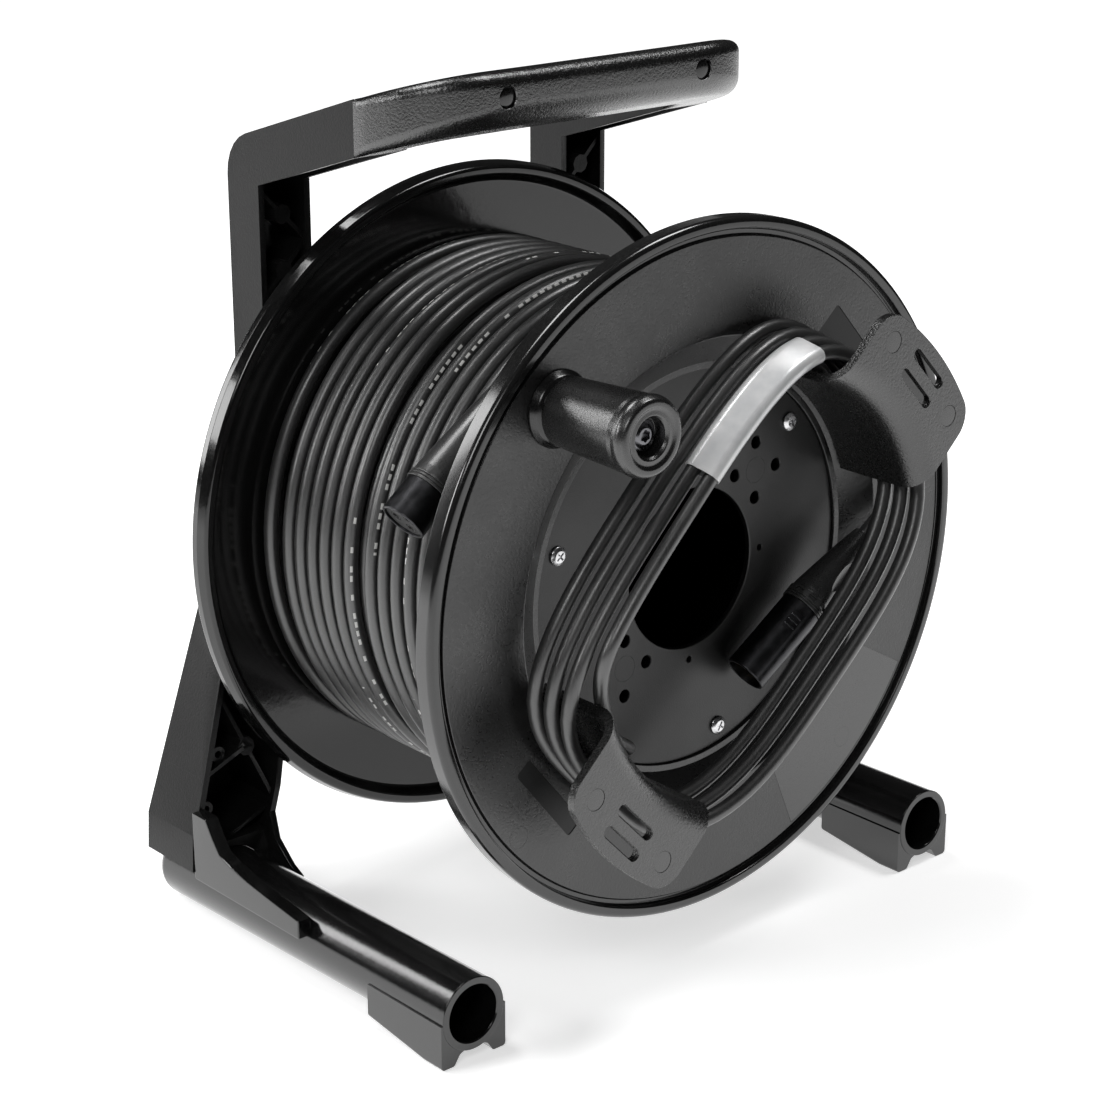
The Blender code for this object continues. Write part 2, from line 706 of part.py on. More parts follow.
def hub_plate(holder):
    """The plate on the recess floor, with its central hole, two groups of holes and three screws."""
    edge = RECESS_R - WALL - GAP
    disc = on_drum(ring(HUB_HOLE_R, edge, Y_FLOOR, Y_FLOOR + WALL, DRUM_STEPS))
    plate = piece("hub_plate", disc, BLACK, holder)
    for mid in (GUARD_ANGLE, GUARD_ANGLE + 180.0):
        cx, cz = polar(HOLE_GROUP_R, mid)
        for dx, dz in ((HOLE_CROSS, 0.0), (-HOLE_CROSS, 0.0), (0.0, HOLE_CROSS), (0.0, -HOLE_CROSS)):
            hole = moved(rod(HOLE_R, Y_FLOOR - 4.0, Y_FLOOR + 8.0, 10), cx + dx, 0.0, cz + dz)
            combine(plate, hole, "DIFFERENCE", "hole")
    for degrees in (0.0, 90.0, 180.0, 270.0):
        x, z = polar(SMALL_HOLE_PLACE_R, degrees)
        combine(plate, moved(rod(SMALL_HOLE_R, Y_FLOOR - 4.0, Y_FLOOR + 8.0, 8), x, 0.0, z), "DIFFERENCE", "hole")
    for i, (x, z) in enumerate(screw_places(), start=1):
        combine(plate, moved(rod(SCREW_R, Y_FLOOR - 4.0, Y_FLOOR + 8.0, 12), x, 0.0, z), "DIFFERENCE", "screw")
        head = Y_FLOOR - GAP
        shape = [(0.0, head - 2.0), (2.2, head - 1.8), (4.2, head - 0.7), (4.2, head),
                 (SCREW_R - 0.3, head), (SCREW_R - 0.3, Y_LEDGE + WALL + 3.0), (0.0, Y_LEDGE + WALL + 4.0)]
        piece(f"hub_screw_{i}", moved(turned(shape, 16), x, 0.0, z), STEEL, holder)
    return plate


def barrel_and_rear(holder):
    barrel_in = BARREL_R - WALL
    front = recess_back(barrel_in) + 0.5
    piece("drum_barrel", on_drum(ring(barrel_in, BARREL_R, front, Y_DISC - GAP, DRUM_STEPS)), BLACK, holder)
    spigot = barrel_in - GAP
    rim = FLANGE_R
    hub_in = AXLE_R + BUSH_WALL + GAP
    hub_front, hub_rear = Y_BACK - SLEEVE_LEN, Y_BACK + HUB_REAR
    profile = [(hub_in, hub_front), (HUB_R, hub_front), (HUB_R, Y_DISC), (spigot - WALL, Y_DISC),
               (spigot - WALL, Y_DISC - 14.0), (spigot, Y_DISC - 14.0), (spigot, Y_DISC),
               (rim - 8.0, Y_DISC), (rim - 5.6, Y_DISC - 4.6), (rim - 4.0, Y_DISC - 5.4),
               (rim - 1.6, Y_DISC - 3.6), (rim, Y_DISC - 0.4), (rim, Y_BACK - 1.0), (rim - 1.2, Y_BACK),
               (HUB_R, Y_BACK), (HUB_R, hub_rear), (hub_in, hub_rear)]
    piece("rear_flange", on_drum(turned(profile, DRUM_STEPS)), GLOSS, holder)
    bush_in, bush_out = AXLE_R + RUN_FIT, AXLE_R + BUSH_WALL
    for name, low in (("axle_bush_rear", hub_rear - BUSH_LEN), ("axle_bush_front", hub_front)):
        piece(name, on_drum(ring(bush_in, bush_out, low, low + BUSH_LEN, AXLE_STEPS)), BRONZE, holder)


def cable_guard(name, mid, holder):
    """A hook that rises from the recess wall and turns outward over the stowed cable."""
    base_in, base_out = GUARD_R, GUARD_R + GUARD_WALL
    bend_y = Y_GUARD + GUARD_BEND
    centre = (GUARD_R + GUARD_BEND, bend_y)
    slope = (RECESS_DEPTH - RECESS_STEP) / (RECESS_RIM_R - RECESS_R)
    rest_in = Y_FLOOR - RECESS_STEP - slope * (base_in - RECESS_R) - GAP * 1.3
    rest_out = Y_FLOOR - RECESS_STEP - slope * (base_out - RECESS_R) - GAP * 1.3
    section = [(base_in, rest_in)] + arc(centre, GUARD_BEND, 180.0, 270.0, 6)
    section += [(GUARD_REACH + 10.0, Y_GUARD), (GUARD_REACH + 10.0, Y_GUARD + GUARD_WALL)]
    section += arc(centre, GUARD_BEND - GUARD_WALL, 270.0, 180.0, 6) + [(base_out, rest_out)]
    guard = piece(name, on_drum(turned(section, DRUM_STEPS)), BLACK, holder)
    sweep = math.degrees(math.asin(GUARD_HALF / GUARD_REACH))
    tip_u = math.sqrt(GUARD_REACH ** 2 - GUARD_HALF ** 2)
    edge = arc((0.0, 0.0), GUARD_REACH, sweep * 0.97, -sweep * 0.97, 8)
    corners = [(60.0, GUARD_HALF, 0.0), (tip_u - 1.0, GUARD_HALF, 9.0)]
    corners += [(u, v, 0.0) for u, v in edge[1:-1]]
    corners += [(tip_u - 1.0, -GUARD_HALF, 9.0), (60.0, -GUARD_HALF, 0.0)]
    combine(guard, turned_plan(filleted(corners), mid), "INTERSECT", "plan")
    for u in (111.5, 122.0):
        slot = filleted([(u - 2.5, -12.5, 2.4), (u + 2.5, -12.5, 2.4), (u + 2.5, 12.5, 2.4),
                         (u - 2.5, 12.5, 2.4)], 4)
        combine(guard, turned_plan(slot, mid), "DIFFERENCE", "slot")
    return guard


def turned_plan(outline, mid):
    """A (u, v) outline, u pointing out from the drum axis at an angle, pushed along Y."""
    c, s = math.cos(math.radians(mid)), math.sin(math.radians(mid))
    flat = [(u * c - v * s, AXIS_Z + u * s + v * c) for u, v in outline]
    return prism(flat, "Y", Y_GUARD - 10.0, Y_FLOOR + 10.0)


# Crank knob

def crank(drum, knob_axis):
    x, z = knob_place()
    base_front = Y_FACE - KNOB_BASE_L
    base = [(SPINDLE_R + GAP, base_front), (13.4, base_front), (KNOB_R, base_front + 2.4),
            (KNOB_R + 0.4, Y_FACE - GAP), (SPINDLE_R + GAP, Y_FACE - GAP)]
    piece("knob_base", moved(turned(base, 32), x, 0.0, z), BLACK, drum)
    floor = Y_KNOB + KNOB_MOUTH_DEPTH
    spindle = [(0.0, floor + 10.0), (2.3, floor + 10.0), (2.3, floor), (SPINDLE_R, floor),
               (SPINDLE_R, Y_FACE + 6.0), (0.0, Y_FACE + 6.0)]
    piece("knob_spindle", moved(turned(spindle, 24), x, 0.0, z), STEEL, drum)
    nut_low = Y_FACE + WALL + GAP
    back_nut = piece("knob_nut", moved(hexagon(13.0, nut_low, nut_low + 3.0), x, 0.0, z), STEEL, drum)
    combine(back_nut, moved(rod(SPINDLE_R + GAP, nut_low - 2.0, nut_low + 6.0), x, 0.0, z))
    lip = KNOB_R + 0.6
    bore = SPINDLE_R + KNOB_FIT
    shape = [(bore, base_front - GAP), (KNOB_R - 2.0, base_front - GAP), (KNOB_R, Y_KNOB + 12.0),
             (lip, Y_KNOB + 5.5), (lip - 0.5, Y_KNOB + 2.0), (lip - 2.4, Y_KNOB), (KNOB_MOUTH_R + 1.5, Y_KNOB),
             (KNOB_MOUTH_R, Y_KNOB + 1.2), (KNOB_MOUTH_R, floor), (bore, floor)]
    piece("crank_knob", moved(turned(shape, 32), x, 0.0, z), BLACK, knob_axis)
    head = floor - GAP
    screw = [(0.0, head - 3.0), (4.6, head - 3.0), (6.6, head - 1.6), (6.6, head), (2.0, head),
             (2.0, floor + 9.4), (0.0, floor + 9.4)]
    cap = piece("knob_screw", moved(turned(screw, 24), x, 0.0, z), STEEL, drum)
    combine(cap, moved(hexagon(4.0, head - 6.0, head - 1.0), x, 0.0, z), "DIFFERENCE", "socket")


# Cable connectors

def smooth(t):
    t = min(max(t, 0.0), 1.0)
    return t * t * (3.0 - 2.0 * t)


def female_frame():
    """Face centre and axis of the socket connector that lies on the winding."""
    angle = math.radians(PLUG_ANGLE)
    along = Vector((math.sin(angle), 0.0, -math.cos(angle)))
    foot_point = Vector((WIND_END_R * math.cos(angle), PLUG_Y, AXIS_Z + WIND_END_R * math.sin(angle)))
    return foot_point - along * (FEMALE_LEN + 2.5), along


def boot_profile(low, high, start_r):
    span = high - low
    return [(0.0, low), (start_r, low), (start_r, low + span * 0.06), (start_r * 0.78, low + span * 0.5),
            (start_r * 0.64, low + span * 0.75), (BOOT_TIP, high), (0.0, high)]


def collar_profile(low, high, radius):
    span = high - low
    return [(0.0, low), (radius, low), (radius, low + span * 0.3), (radius - 0.7, low + span * 0.35),
            (radius - 0.7, low + span * 0.45), (radius, low + span * 0.5), (radius, low + span * 0.8),
            (radius - 0.5, high), (0.0, high)]


def female_connector(holder, latch_axis):
    origin, along = female_frame()

    def put(bm):
        return aimed(bm, origin, along, (0, 1, 0))

    inner = XLR_R - 1.2
    body = FEMALE_BODY
    shell = [(inner, 0.0), (XLR_R - 0.4, 0.0), (XLR_R, 0.6), (XLR_R, body), (0.0, body), (0.0, body - 2.0),
             (inner, body - 2.0)]
    obj = piece("female_xlr_shell", put(turned(shell, 32)), SHELL, holder)
    combine(obj, put(latch_block(2.8, 2.4, 11.6, inner - 3.0, XLR_R + 3.0)), "DIFFERENCE", "window")
    face = 1.0
    back = body - 2.0 - GAP
    core = turned([(0.0, face), (inner - GAP, face), (inner - GAP, back), (0.0, back)], 32)
    insert = piece("female_xlr_insert", put(core), BLACK, holder)
    combine(insert, put(latch_block(3.2, 2.0, 12.0, inner - 3.2, XLR_R + 3.0)), "DIFFERENCE", "notch")
    for k in range(3):
        angle = math.radians(90.0 + 120.0 * k)
        hole = moved(rod(1.4, -3.0, 9.0, 10), 4.6 * math.cos(angle) - 0.8, 0.0, 4.6 * math.sin(angle))
        combine(insert, put(hole), "DIFFERENCE", "hole")
    piece("female_xlr_latch", put(latch_block(2.4, 2.8, 11.2, XLR_R - 1.6, XLR_R + 0.5)), SHELL, latch_axis)
    collar = turned(collar_profile(body + GAP, body + 3.6, XLR_R + 0.4), 24)
    piece("female_xlr_collar", put(collar), BLACK, holder)
    piece("female_xlr_boot", put(turned(boot_profile(body + 3.6 + GAP, FEMALE_LEN, XLR_R - 0.2), 24)),
          BLACK, holder)


def latch_block(half, low, high, inner, outer):
    return prism([(low, -half), (low, half), (high, half), (high, -half)], "X", inner, outer)


def male_frame():
    front = Vector((MALE_FRONT[0], MALE_FRONT[2], AXIS_Z + MALE_FRONT[1]))
    tip = Vector((MALE_TIP[0], MALE_TIP[2], AXIS_Z + MALE_TIP[1]))
    along = (tip - front).normalized()
    return tip - along * MALE_LEN, along


def male_connector(holder):
    origin, along = male_frame()

    def put(bm):
        return aimed(bm, origin, along, (0, -1, 0))

    outer = XLR_R - 0.3
    inner = outer - 1.2
    body = MALE_BODY
    floor = MALE_FLOOR
    shell = [(inner, 0.0), (outer - 0.5, 0.0), (outer, 0.5), (outer, body), (0.0, body), (0.0, body - 4.0),
             (inner, body - 4.0)]
    piece("male_xlr_shell", put(turned(shell, 32)), SHELL, holder)
    back = body - 4.0 - GAP
    core = turned([(0.0, floor), (inner - GAP, floor), (inner - GAP, back), (0.0, back)], 32)
    insert = piece("male_xlr_insert", put(core), BLACK, holder)
    for k in range(3):
        angle = math.radians(90.0 + 120.0 * k)
        x, z = 4.4 * math.cos(angle), 4.4 * math.sin(angle)
        combine(insert, put(moved(rod(1.5, floor - 3.0, floor + 6.0, 10), x, 0.0, z)), "DIFFERENCE", "seat")
        pin = [(0.0, 4.0), (0.8, 4.2), (1.2, 5.2), (1.2, floor + 5.6), (0.0, floor + 5.6)]
        piece(f"male_xlr_pin_{k + 1}", put(moved(turned(pin, 10), x, 0.0, z)), BRONZE, holder)
    collar = turned(collar_profile(body + GAP, body + 6.0, XLR_R + 0.4), 24)
    piece("male_xlr_collar", put(collar), BLACK, holder)
    piece("male_xlr_boot", put(turned(boot_profile(body + 6.0 + GAP, MALE_LEN, XLR_R - 0.2), 24)),
          BLACK, holder)


# Cable on the drum

def winding(holder):
    """The outer layer of turns over a plain core, ending at the socket connector."""
    front_core = recess_back(BARREL_R + GAP) + 0.5
    corner = RECESS_RIM_R + 1.5
    core = [(BARREL_R + GAP, front_core), (corner, Y_FACE + WALL + 0.5), (CORE_R, Y_FACE + WALL + 0.5),
            (CORE_R, Y_DISC - GAP), (BARREL_R + GAP, Y_DISC - GAP)]
    piece("winding_core", on_drum(turned(core, DRUM_STEPS)), JACKET, holder)
    first_y = Y_DISC - CABLE_D / 2.0 - 0.6
    hold = 0.58
    steps = ((0.94, 5.4), (7.0, 5.8))
    climb = TURNS - 0.22
    last = TURNS + (PLUG_ANGLE - WIND_START) / 360.0
    origin, along = female_frame()
    tip = origin + along * (FEMALE_LEN + GAP)
    points = []
    count = round(last * LOOP_POINTS)
    for i in range(count):
        turn = i / LOOP_POINTS
        y = first_y - PITCH * max(0.0, min(turn, climb) - hold)
        for at, jump in steps:
            y -= jump * smooth((turn - at) / 0.36 + 0.5)
        y += (PLUG_Y - y) * smooth((turn - climb - 0.12) / 0.44)
        rise = smooth((turn - climb) / 0.18)
        radius = WIND_R + (CABLE_D + 1.9) * rise
        radius += (WIND_END_R - WIND_R - CABLE_D - 1.9) * smooth((turn - last + 0.25) / 0.2)
        x, z = polar(radius, WIND_START + 360.0 * turn)
        points.append(Vector((x, y, z)))
    while (points[-1] - tip).dot(along) < CABLE_D * 1.6:
        points.pop()
    points += [tip + along * CABLE_D * 1.02, tip]
    tube("cable_winding", points, JACKET, holder)
    least_gap("cable_winding", points, CABLE_D)


# Stowed cable tail, in the plane of the two guards

def to_world(u, v, y):
    c, s = math.cos(math.radians(GUARD_ANGLE)), math.sin(math.radians(GUARD_ANGLE))
    return Vector((u * c - v * s, y, AXIS_Z + u * s + v * c))


def tail_point(turn, index=None):
    """A point of the stowed coil; each turn lies nearer the viewer than the one before."""
    angle = math.tau * turn
    c, s = math.cos(angle), math.sin(angle)
    left = s >= 0.0
    half = TAIL_LEFT if left else TAIL_RIGHT
    radius = ((abs(c) / TAIL_A) ** TAIL_POWER + (abs(s) / half) ** TAIL_POWER) ** (-1.0 / TAIL_POWER)
    u, v = radius * c, radius * s
    bulge = (4.0 if left else 8.0) * max(0.0, 1.0 - (u / 95.0) ** 4)
    count = (turn if index is None else index) - TAIL_MID
    return to_world(u, v - TAIL_STEP[0] * count, TAIL_Y - bulge - TAIL_STEP[1] * count)


def tail_chord(station, index):
    """A point on the straight runs between the stations of the stowed coil."""
    low = math.floor(station)
    turn = TAIL_START + low / LOOP_POINTS
    near = tail_point(turn, turn + index)
    turn += 1.0 / LOOP_POINTS
    far = tail_point(turn, turn + index)
    return near.lerp(far, station - low)


def bridge(start, start_way, end, end_way, reach, steps):
    """Points between two ends on a smooth curve that leaves and meets them along given ways."""
    a, b = start + start_way.normalized() * reach, end - end_way.normalized() * reach
    points = []
    for i in range(1, steps):
        t = i / steps
        near = start * (1 - t) ** 3 + a * 3 * t * (1 - t) ** 2
        points.append(near + b * 3 * t * t * (1 - t) + end * t ** 3)
    return points


def stowed_cable(holder):
    origin, along = male_frame()
    tip = origin + along * (MALE_LEN + GAP)
    straight = tip + along * CABLE_D * 1.05
    first = tail_point(TAIL_START)
    points = [tip, straight]
    points += bridge(straight, along, first, tail_point(TAIL_START + 0.01) - first, 19.0, 5)
    coil = [tail_point(TAIL_START + i / LOOP_POINTS) for i in range(TAIL_STATIONS + 1)]
    points += coil
    way = tail_point(TAIL_END) - tail_point(TAIL_END - 0.01)
    end = to_world(-80.0, -16.0, Y_FLOOR - GAP)
    above = end + Vector((0.0, -CABLE_D * 1.05, 0.0))
    turn_in = to_world(-84.0, 12.0, Y_FLOOR - 24.0)
    slant = to_world(-84.5, 0.0, Y_FLOOR - 19.0) - to_world(-80.0, 25.0, Y_FLOOR - 30.0)
    points += bridge(coil[-1], way, turn_in, slant, 22.0, 5) + [turn_in]
    points += bridge(turn_in, slant, above, Vector((0.0, 1.0, 0.0)), 13.0, 4) + [above, end]
    tube("stowed_cable", points, JACKET, holder)
    least_gap("stowed_cable", points, CABLE_D)


def label_sleeve(holder):
    """A flat sleeve round the four turns of the stowed coil, where the label is."""
    wall, room = 0.8, 0.7
    middle_turn = 1.5
    step = to_world(0.0, -TAIL_STEP[0], -TAIL_STEP[1]) - to_world(0.0, 0.0, 0.0)
    half = step.length * middle_turn
    wide = step.normalized()
    outer, inner = [], []
    for station in (3.4, 4.0, 5.0, 6.0, 6.3):
        centre = tail_chord(station, middle_turn)
        way = tail_chord(station + 0.2, middle_turn) - tail_chord(station - 0.2, middle_turn)
        thin = way.cross(wide).normalized()
        for store, radius in ((outer, CABLE_D / 2 + room + wall), (inner, CABLE_D / 2 + room)):
            shape = [(half + a, b) for a, b in arc((0, 0), radius, -90.0, 90.0, 5)]
            shape += [(-half + a, b) for a, b in arc((0, 0), radius, 90.0, 270.0, 5)]
            store.append([centre + wide * a + thin * b for a, b in shape])
    bm = bmesh.new()
    skins = [[[bm.verts.new(p) for p in loop] for loop in skin] for skin in (outer, inner)]
    count = len(outer[0])
    for skin in skins:
        for near, far in zip(skin, skin[1:]):
            for i in range(count):
                j = (i + 1) % count
                bm.faces.new((near[i], near[j], far[j], far[i]))
    for end in (0, -1):
        for i in range(count):
            j = (i + 1) % count
            bm.faces.new((skins[0][end][i], skins[0][end][j], skins[1][end][j], skins[1][end][i]))
    piece("label_sleeve", bm, LABEL, holder)


def build():
    for obj in list(bpy.data.objects):
        bpy.data.objects.remove(obj, do_unlink=True)
    frame = empty("reel_frame", (0.0, 0.0, 0.0))
    drum = empty("drum_axis", (0.0, 0.0, AXIS_Z), frame)
    x, z = knob_place()
    knob_axis = empty("knob_axis", (x, Y_FACE, z), drum)
    origin, along = female_frame()
    latch_axis = empty("latch_axis", tuple(origin + along * 7.0 + Vector((0.0, XLR_R, 0.0))), drum)
    for side, word in ((-1.0, "left"), (1.0, "right")):
        frame_side("frame_" + word, side, frame)
        foot("foot_" + word, side, frame)
    axle_beam(frame)
    carry_grip(frame)
    axle(frame)
    front_flange(drum)
    hub_plate(drum)
    barrel_and_rear(drum)
    cable_guard("cable_guard_upper", GUARD_ANGLE, drum)
    cable_guard("cable_guard_lower", GUARD_ANGLE + 180.0, drum)
    crank(drum, knob_axis)
    female_connector(drum, latch_axis)
    male_connector(drum)
    winding(drum)
    stowed_cable(drum)
    label_sleeve(drum)


build()
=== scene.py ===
"""Looks of a stage cable reel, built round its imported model."""

import math

import bmesh
import bpy
from mathutils import Matrix, Vector


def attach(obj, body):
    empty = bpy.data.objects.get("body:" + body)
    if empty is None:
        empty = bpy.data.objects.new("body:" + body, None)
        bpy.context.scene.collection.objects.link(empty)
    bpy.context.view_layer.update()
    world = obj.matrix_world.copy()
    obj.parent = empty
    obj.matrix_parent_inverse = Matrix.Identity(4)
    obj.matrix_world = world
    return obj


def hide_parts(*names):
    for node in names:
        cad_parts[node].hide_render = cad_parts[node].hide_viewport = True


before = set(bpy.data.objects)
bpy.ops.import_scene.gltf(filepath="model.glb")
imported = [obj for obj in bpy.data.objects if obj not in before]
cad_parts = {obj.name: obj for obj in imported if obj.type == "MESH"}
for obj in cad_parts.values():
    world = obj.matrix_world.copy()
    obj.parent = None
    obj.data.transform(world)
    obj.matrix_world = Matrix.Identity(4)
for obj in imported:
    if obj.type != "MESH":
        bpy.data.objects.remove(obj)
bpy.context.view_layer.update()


# Uprights with their arms and legs
# Each side of the frame is one injection moulding of black plastic, an open C section with fine grain outside.
# A zigzag rib stiffens it inside, and the round pads on the rib are where the ejector pins pushed it out.

MM = 0.001
UPRIGHT_EDGE = 1.0
UPRIGHT_LONG_EDGE = 12.0
CLOUD_SCALE = 42.0
STREAK_SCALE = 190.0


def packed_solid(node):
    """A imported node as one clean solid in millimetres, its flat faces whole again."""
    bm = bmesh.new()
    bm.from_mesh(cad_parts[node].data)
    bmesh.ops.scale(bm, vec=(1.0 / MM,) * 3, verts=bm.verts)
    bmesh.ops.remove_doubles(bm, verts=bm.verts, dist=0.003)
    bmesh.ops.dissolve_limit(bm, angle_limit=math.radians(1.5), verts=bm.verts, edges=bm.edges)
    return bm


def round_edges(bm, radius, segments=3, sharper=30.0, longer=0.0):
    """Rounds the convex edges that are sharp and long enough."""
    picked = [edge for edge in bm.edges if len(edge.link_faces) == 2 and edge.calc_length() >= longer
              and edge.calc_face_angle_signed(0.0) >= math.radians(sharper)]
    bmesh.ops.bevel(bm, geom=picked, offset=radius, offset_type="OFFSET", segments=segments, profile=0.5,
                    affect="EDGES", clamp_overlap=True, material=-1)
    return bm


def linked(name, data):
    """A new object in the scene, from an unfinished mesh or from other data."""
    if isinstance(data, bmesh.types.BMesh):
        bm, data = data, bpy.data.meshes.new(name)
        bm.to_mesh(data)
        bm.free()
    thing = bpy.data.objects.new(name, data)
    bpy.context.collection.objects.link(thing)
    return thing


def show(name, bm, material, *nodes, body="drum", slot="moulded_plastic", crease=35.0):
    """Puts a finished shape in the scene, on its body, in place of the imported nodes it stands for."""
    bmesh.ops.scale(bm, vec=(MM,) * 3, verts=bm.verts)
    piece = linked(name, bm)
    piece.data.shade_smooth()
    piece.data.set_sharp_from_angle(angle=math.radians(crease))
    piece.data.materials.append(material)
    normals = piece.modifiers.new("even_shading", "WEIGHTED_NORMAL")
    normals.keep_sharp = True
    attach(piece, body)
    if nodes:
        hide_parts(*nodes)
    return piece


def fill(node, values):
    """Sets or links the given sockets of a shader node."""
    for socket, value in values.items():
        if isinstance(value, bpy.types.NodeSocket):
            node.id_data.links.new(value, node.inputs[socket])
        else:
            node.inputs[socket].default_value = value
    return node


def add(tree, kind, values=None, **settings):
    """A new shader node with its settings and sockets."""
    node = tree.nodes.new("ShaderNode" + kind)
    for word, value in settings.items():
        setattr(node, word, value)
    return fill(node, values or {})


def surface(name, values):
    """A new material, its tree and its shader."""
    material = bpy.data.materials.new(name)
    material.use_nodes = True
    return material, material.node_tree, fill(material.node_tree.nodes["Principled BSDF"], values)


def noise(tree, scale, detail, roughness=0.5):
    """A cloudy pattern that stays with the object."""
    place = add(tree, "TexCoord").outputs["Object"]
    values = {"Vector": place, "Scale": scale, "Detail": detail, "Roughness": roughness}
    return add(tree, "TexNoise", values).outputs["Fac"]


def spread(tree, value, low, high, start=0.0, stop=1.0):
    """What runs from start to stop, spread from low to high."""
    values = {"Value": value, "From Min": start, "From Max": stop, "To Min": low, "To Max": high}
    return add(tree, "MapRange", values).outputs["Result"]


def raised(tree, height, depth, under=None):
    """The surface raised by a pattern, over another raised surface where there is one."""
    node = add(tree, "Bump", {"Strength": 1.0, "Distance": depth * MM, "Height": height})
    return fill(node, {"Normal": under} if under else {}).outputs["Normal"]


def plastic(name, tone, roughness, grain, depth, streak=0.0, gloss=0.5):
    """Moulded plastic: a tooled grain in the surface, uneven gloss and a faint cloudiness in the colour."""
    material, tree, shader = surface(name, {"Specular IOR Level": gloss})
    fine, cloud = noise(tree, grain, 2.5, 0.62), noise(tree, CLOUD_SCALE, 4.0)
    speckle = spread(tree, fine, tone * 0.75, tone * 1.35, 0.36, 0.64)
    colour = add(tree, "MixRGB", {"Fac": 0.35, "Color1": speckle, "Color2": cloud}, blend_type="MULTIPLY")
    both = add(tree, "MixRGB", {"Fac": 0.6, "Color1": cloud, "Color2": fine})
    shine = spread(tree, both.outputs["Color"], roughness * 0.82, roughness * 1.18, 0.38, 0.62)
    flow = raised(tree, noise(tree, STREAK_SCALE, 3.0), streak) if streak else None
    fill(shader, {"Base Color": colour.outputs["Color"], "Roughness": shine,
                  "Normal": raised(tree, fine, depth, flow)})
    return material


frame_plastic = plastic("frame_plastic", 0.008, 0.36, 950.0, 0.11, gloss=0.18)

for side in ("left", "right"):
    upright = packed_solid("frame_" + side)
    round_edges(upright, UPRIGHT_EDGE, longer=UPRIGHT_LONG_EDGE)
    show("upright_" + side, upright, frame_plastic, "frame_" + side, body="frame")


# Foot tubes
# Smooth, glossy mouldings that carry the uprights; the tube is open in front and its rear end is closed and round.
# The front block with its two toes and the webs in front of the leg are one piece with the tube.

FOOT_X = 139.8
FOOT_R = 16.9
FOOT_FRONT_R = 16.3
FOOT_BORE = 12.6
FOOT_LEN = 210.9
FOOT_FRONT = (-87.9, 21.0)
FOOT_FALL = 0.02001
LEG_FACE = 86.0


def filleted(corners, steps=5):
    """A closed outline from sharp corners (a, b) and round ones (a, b, radius)."""
    outline = []
    for i, (a, b, *radius) in enumerate(corners):
        if not radius:
            outline.append((a, b))
            continue
        here, radius = Vector((a, b)), radius[0]
        into = (Vector(corners[i - 1][:2]) - here).normalized()
        out = (Vector(corners[(i + 1) % len(corners)][:2]) - here).normalized()
        half = into.angle(out) / 2.0
        reach = radius / math.tan(half)
        middle = here + (into + out).normalized() * radius / math.sin(half)
        first = here + into * reach - middle
        turn = first.angle_signed(here + out * reach - middle)
        for k in range(steps + 1):
            spoke = first.copy()
            spoke.rotate(Matrix.Rotation(-turn * k / steps, 2))
            outline.append(tuple(middle + spoke))
    return outline


def outward(bm):
    """The faces all turned outside out."""
    bmesh.ops.recalc_face_normals(bm, faces=bm.faces)
    return bm


def lathe(profile, steps=192, x=0.0, z=0.0):
    """A closed (radius, along) outline turned about a line parallel to Y."""
    bm = bmesh.new()
    verts = [bm.verts.new((radius, along, 0.0)) for radius, along in profile]
    edges = []
    for i, vert in enumerate(verts):
        other = verts[(i + 1) % len(verts)]
        if vert.co.x > 1e-6 or other.co.x > 1e-6:
            edges.append(bm.edges.new((vert, other)))
    bmesh.ops.spin(bm, geom=verts + edges, cent=(0, 0, 0), axis=(0, 1, 0), dvec=(0, 0, 0), angle=math.tau,
                   steps=steps, use_merge=True)
    bmesh.ops.remove_doubles(bm, verts=bm.verts, dist=0.0005)
    bmesh.ops.translate(bm, verts=bm.verts, vec=(x, 0.0, z))
    return outward(bm)


def turned(corners, steps=192, x=0.0, z=0.0, soft=5):
    """A solid of revolution from its corners, closed along the axis at both ends."""
    return lathe(filleted([(0.0, corners[0][1]), *corners, (0.0, corners[-1][1])], soft), steps, x, z)


def pushed(outline, axis, low, high):
    """An outline pushed along an axis: (x, z) along Y, (y, z) along X."""
    bm = bmesh.new()
    face = bm.faces.new([bm.verts.new((a, low, b) if axis == "Y" else (low, a, b)) for a, b in outline])
    grown = bmesh.ops.extrude_face_region(bm, geom=[face])
    far = [v for v in grown["geom"] if isinstance(v, bmesh.types.BMVert)]
    bmesh.ops.translate(bm, verts=far, vec=(0.0, high - low, 0.0) if axis == "Y" else (high - low, 0.0, 0.0))
    return outward(bm)


def swept(sections):
    """The first section as a face, extruded from one section to the next."""
    bm = bmesh.new()
    face = bm.faces.new([bm.verts.new(point) for point in sections[0]])
    bm.verts.index_update()
    front = list(face.verts)
    first = face
    for section in sections[1:]:
        passed = face
        grown = bmesh.ops.extrude_face_region(bm, geom=[face])
        face = next(g for g in grown["geom"] if isinstance(g, bmesh.types.BMFace))
        if passed != first and passed.is_valid:
            bm.faces.remove(passed)
        near = {tuple(v.co): v for v in face.verts}
        ahead = [near[tuple(v.co)] for v in front]
        for vert, point in zip(ahead, section):
            vert.co = point
        front = ahead
    return outward(bm)


def carve(bm, other, operation="DIFFERENCE"):
    """One solid cut with, joined to or kept inside another."""
    blank, cutter = linked("blank", bm), linked("cutter", other)
    cut = blank.modifiers.new("cut", "BOOLEAN")
    cut.operation, cut.object = operation, cutter
    bpy.context.view_layer.update()
    whole = blank.evaluated_get(bpy.context.evaluated_depsgraph_get())
    result = bmesh.new()
    result.from_mesh(whole.to_mesh())
    whole.to_mesh_clear()
    for thing in (blank, cutter):
        mesh = thing.data
        bpy.data.objects.remove(thing, do_unlink=True)
        bpy.data.meshes.remove(mesh)
    return result


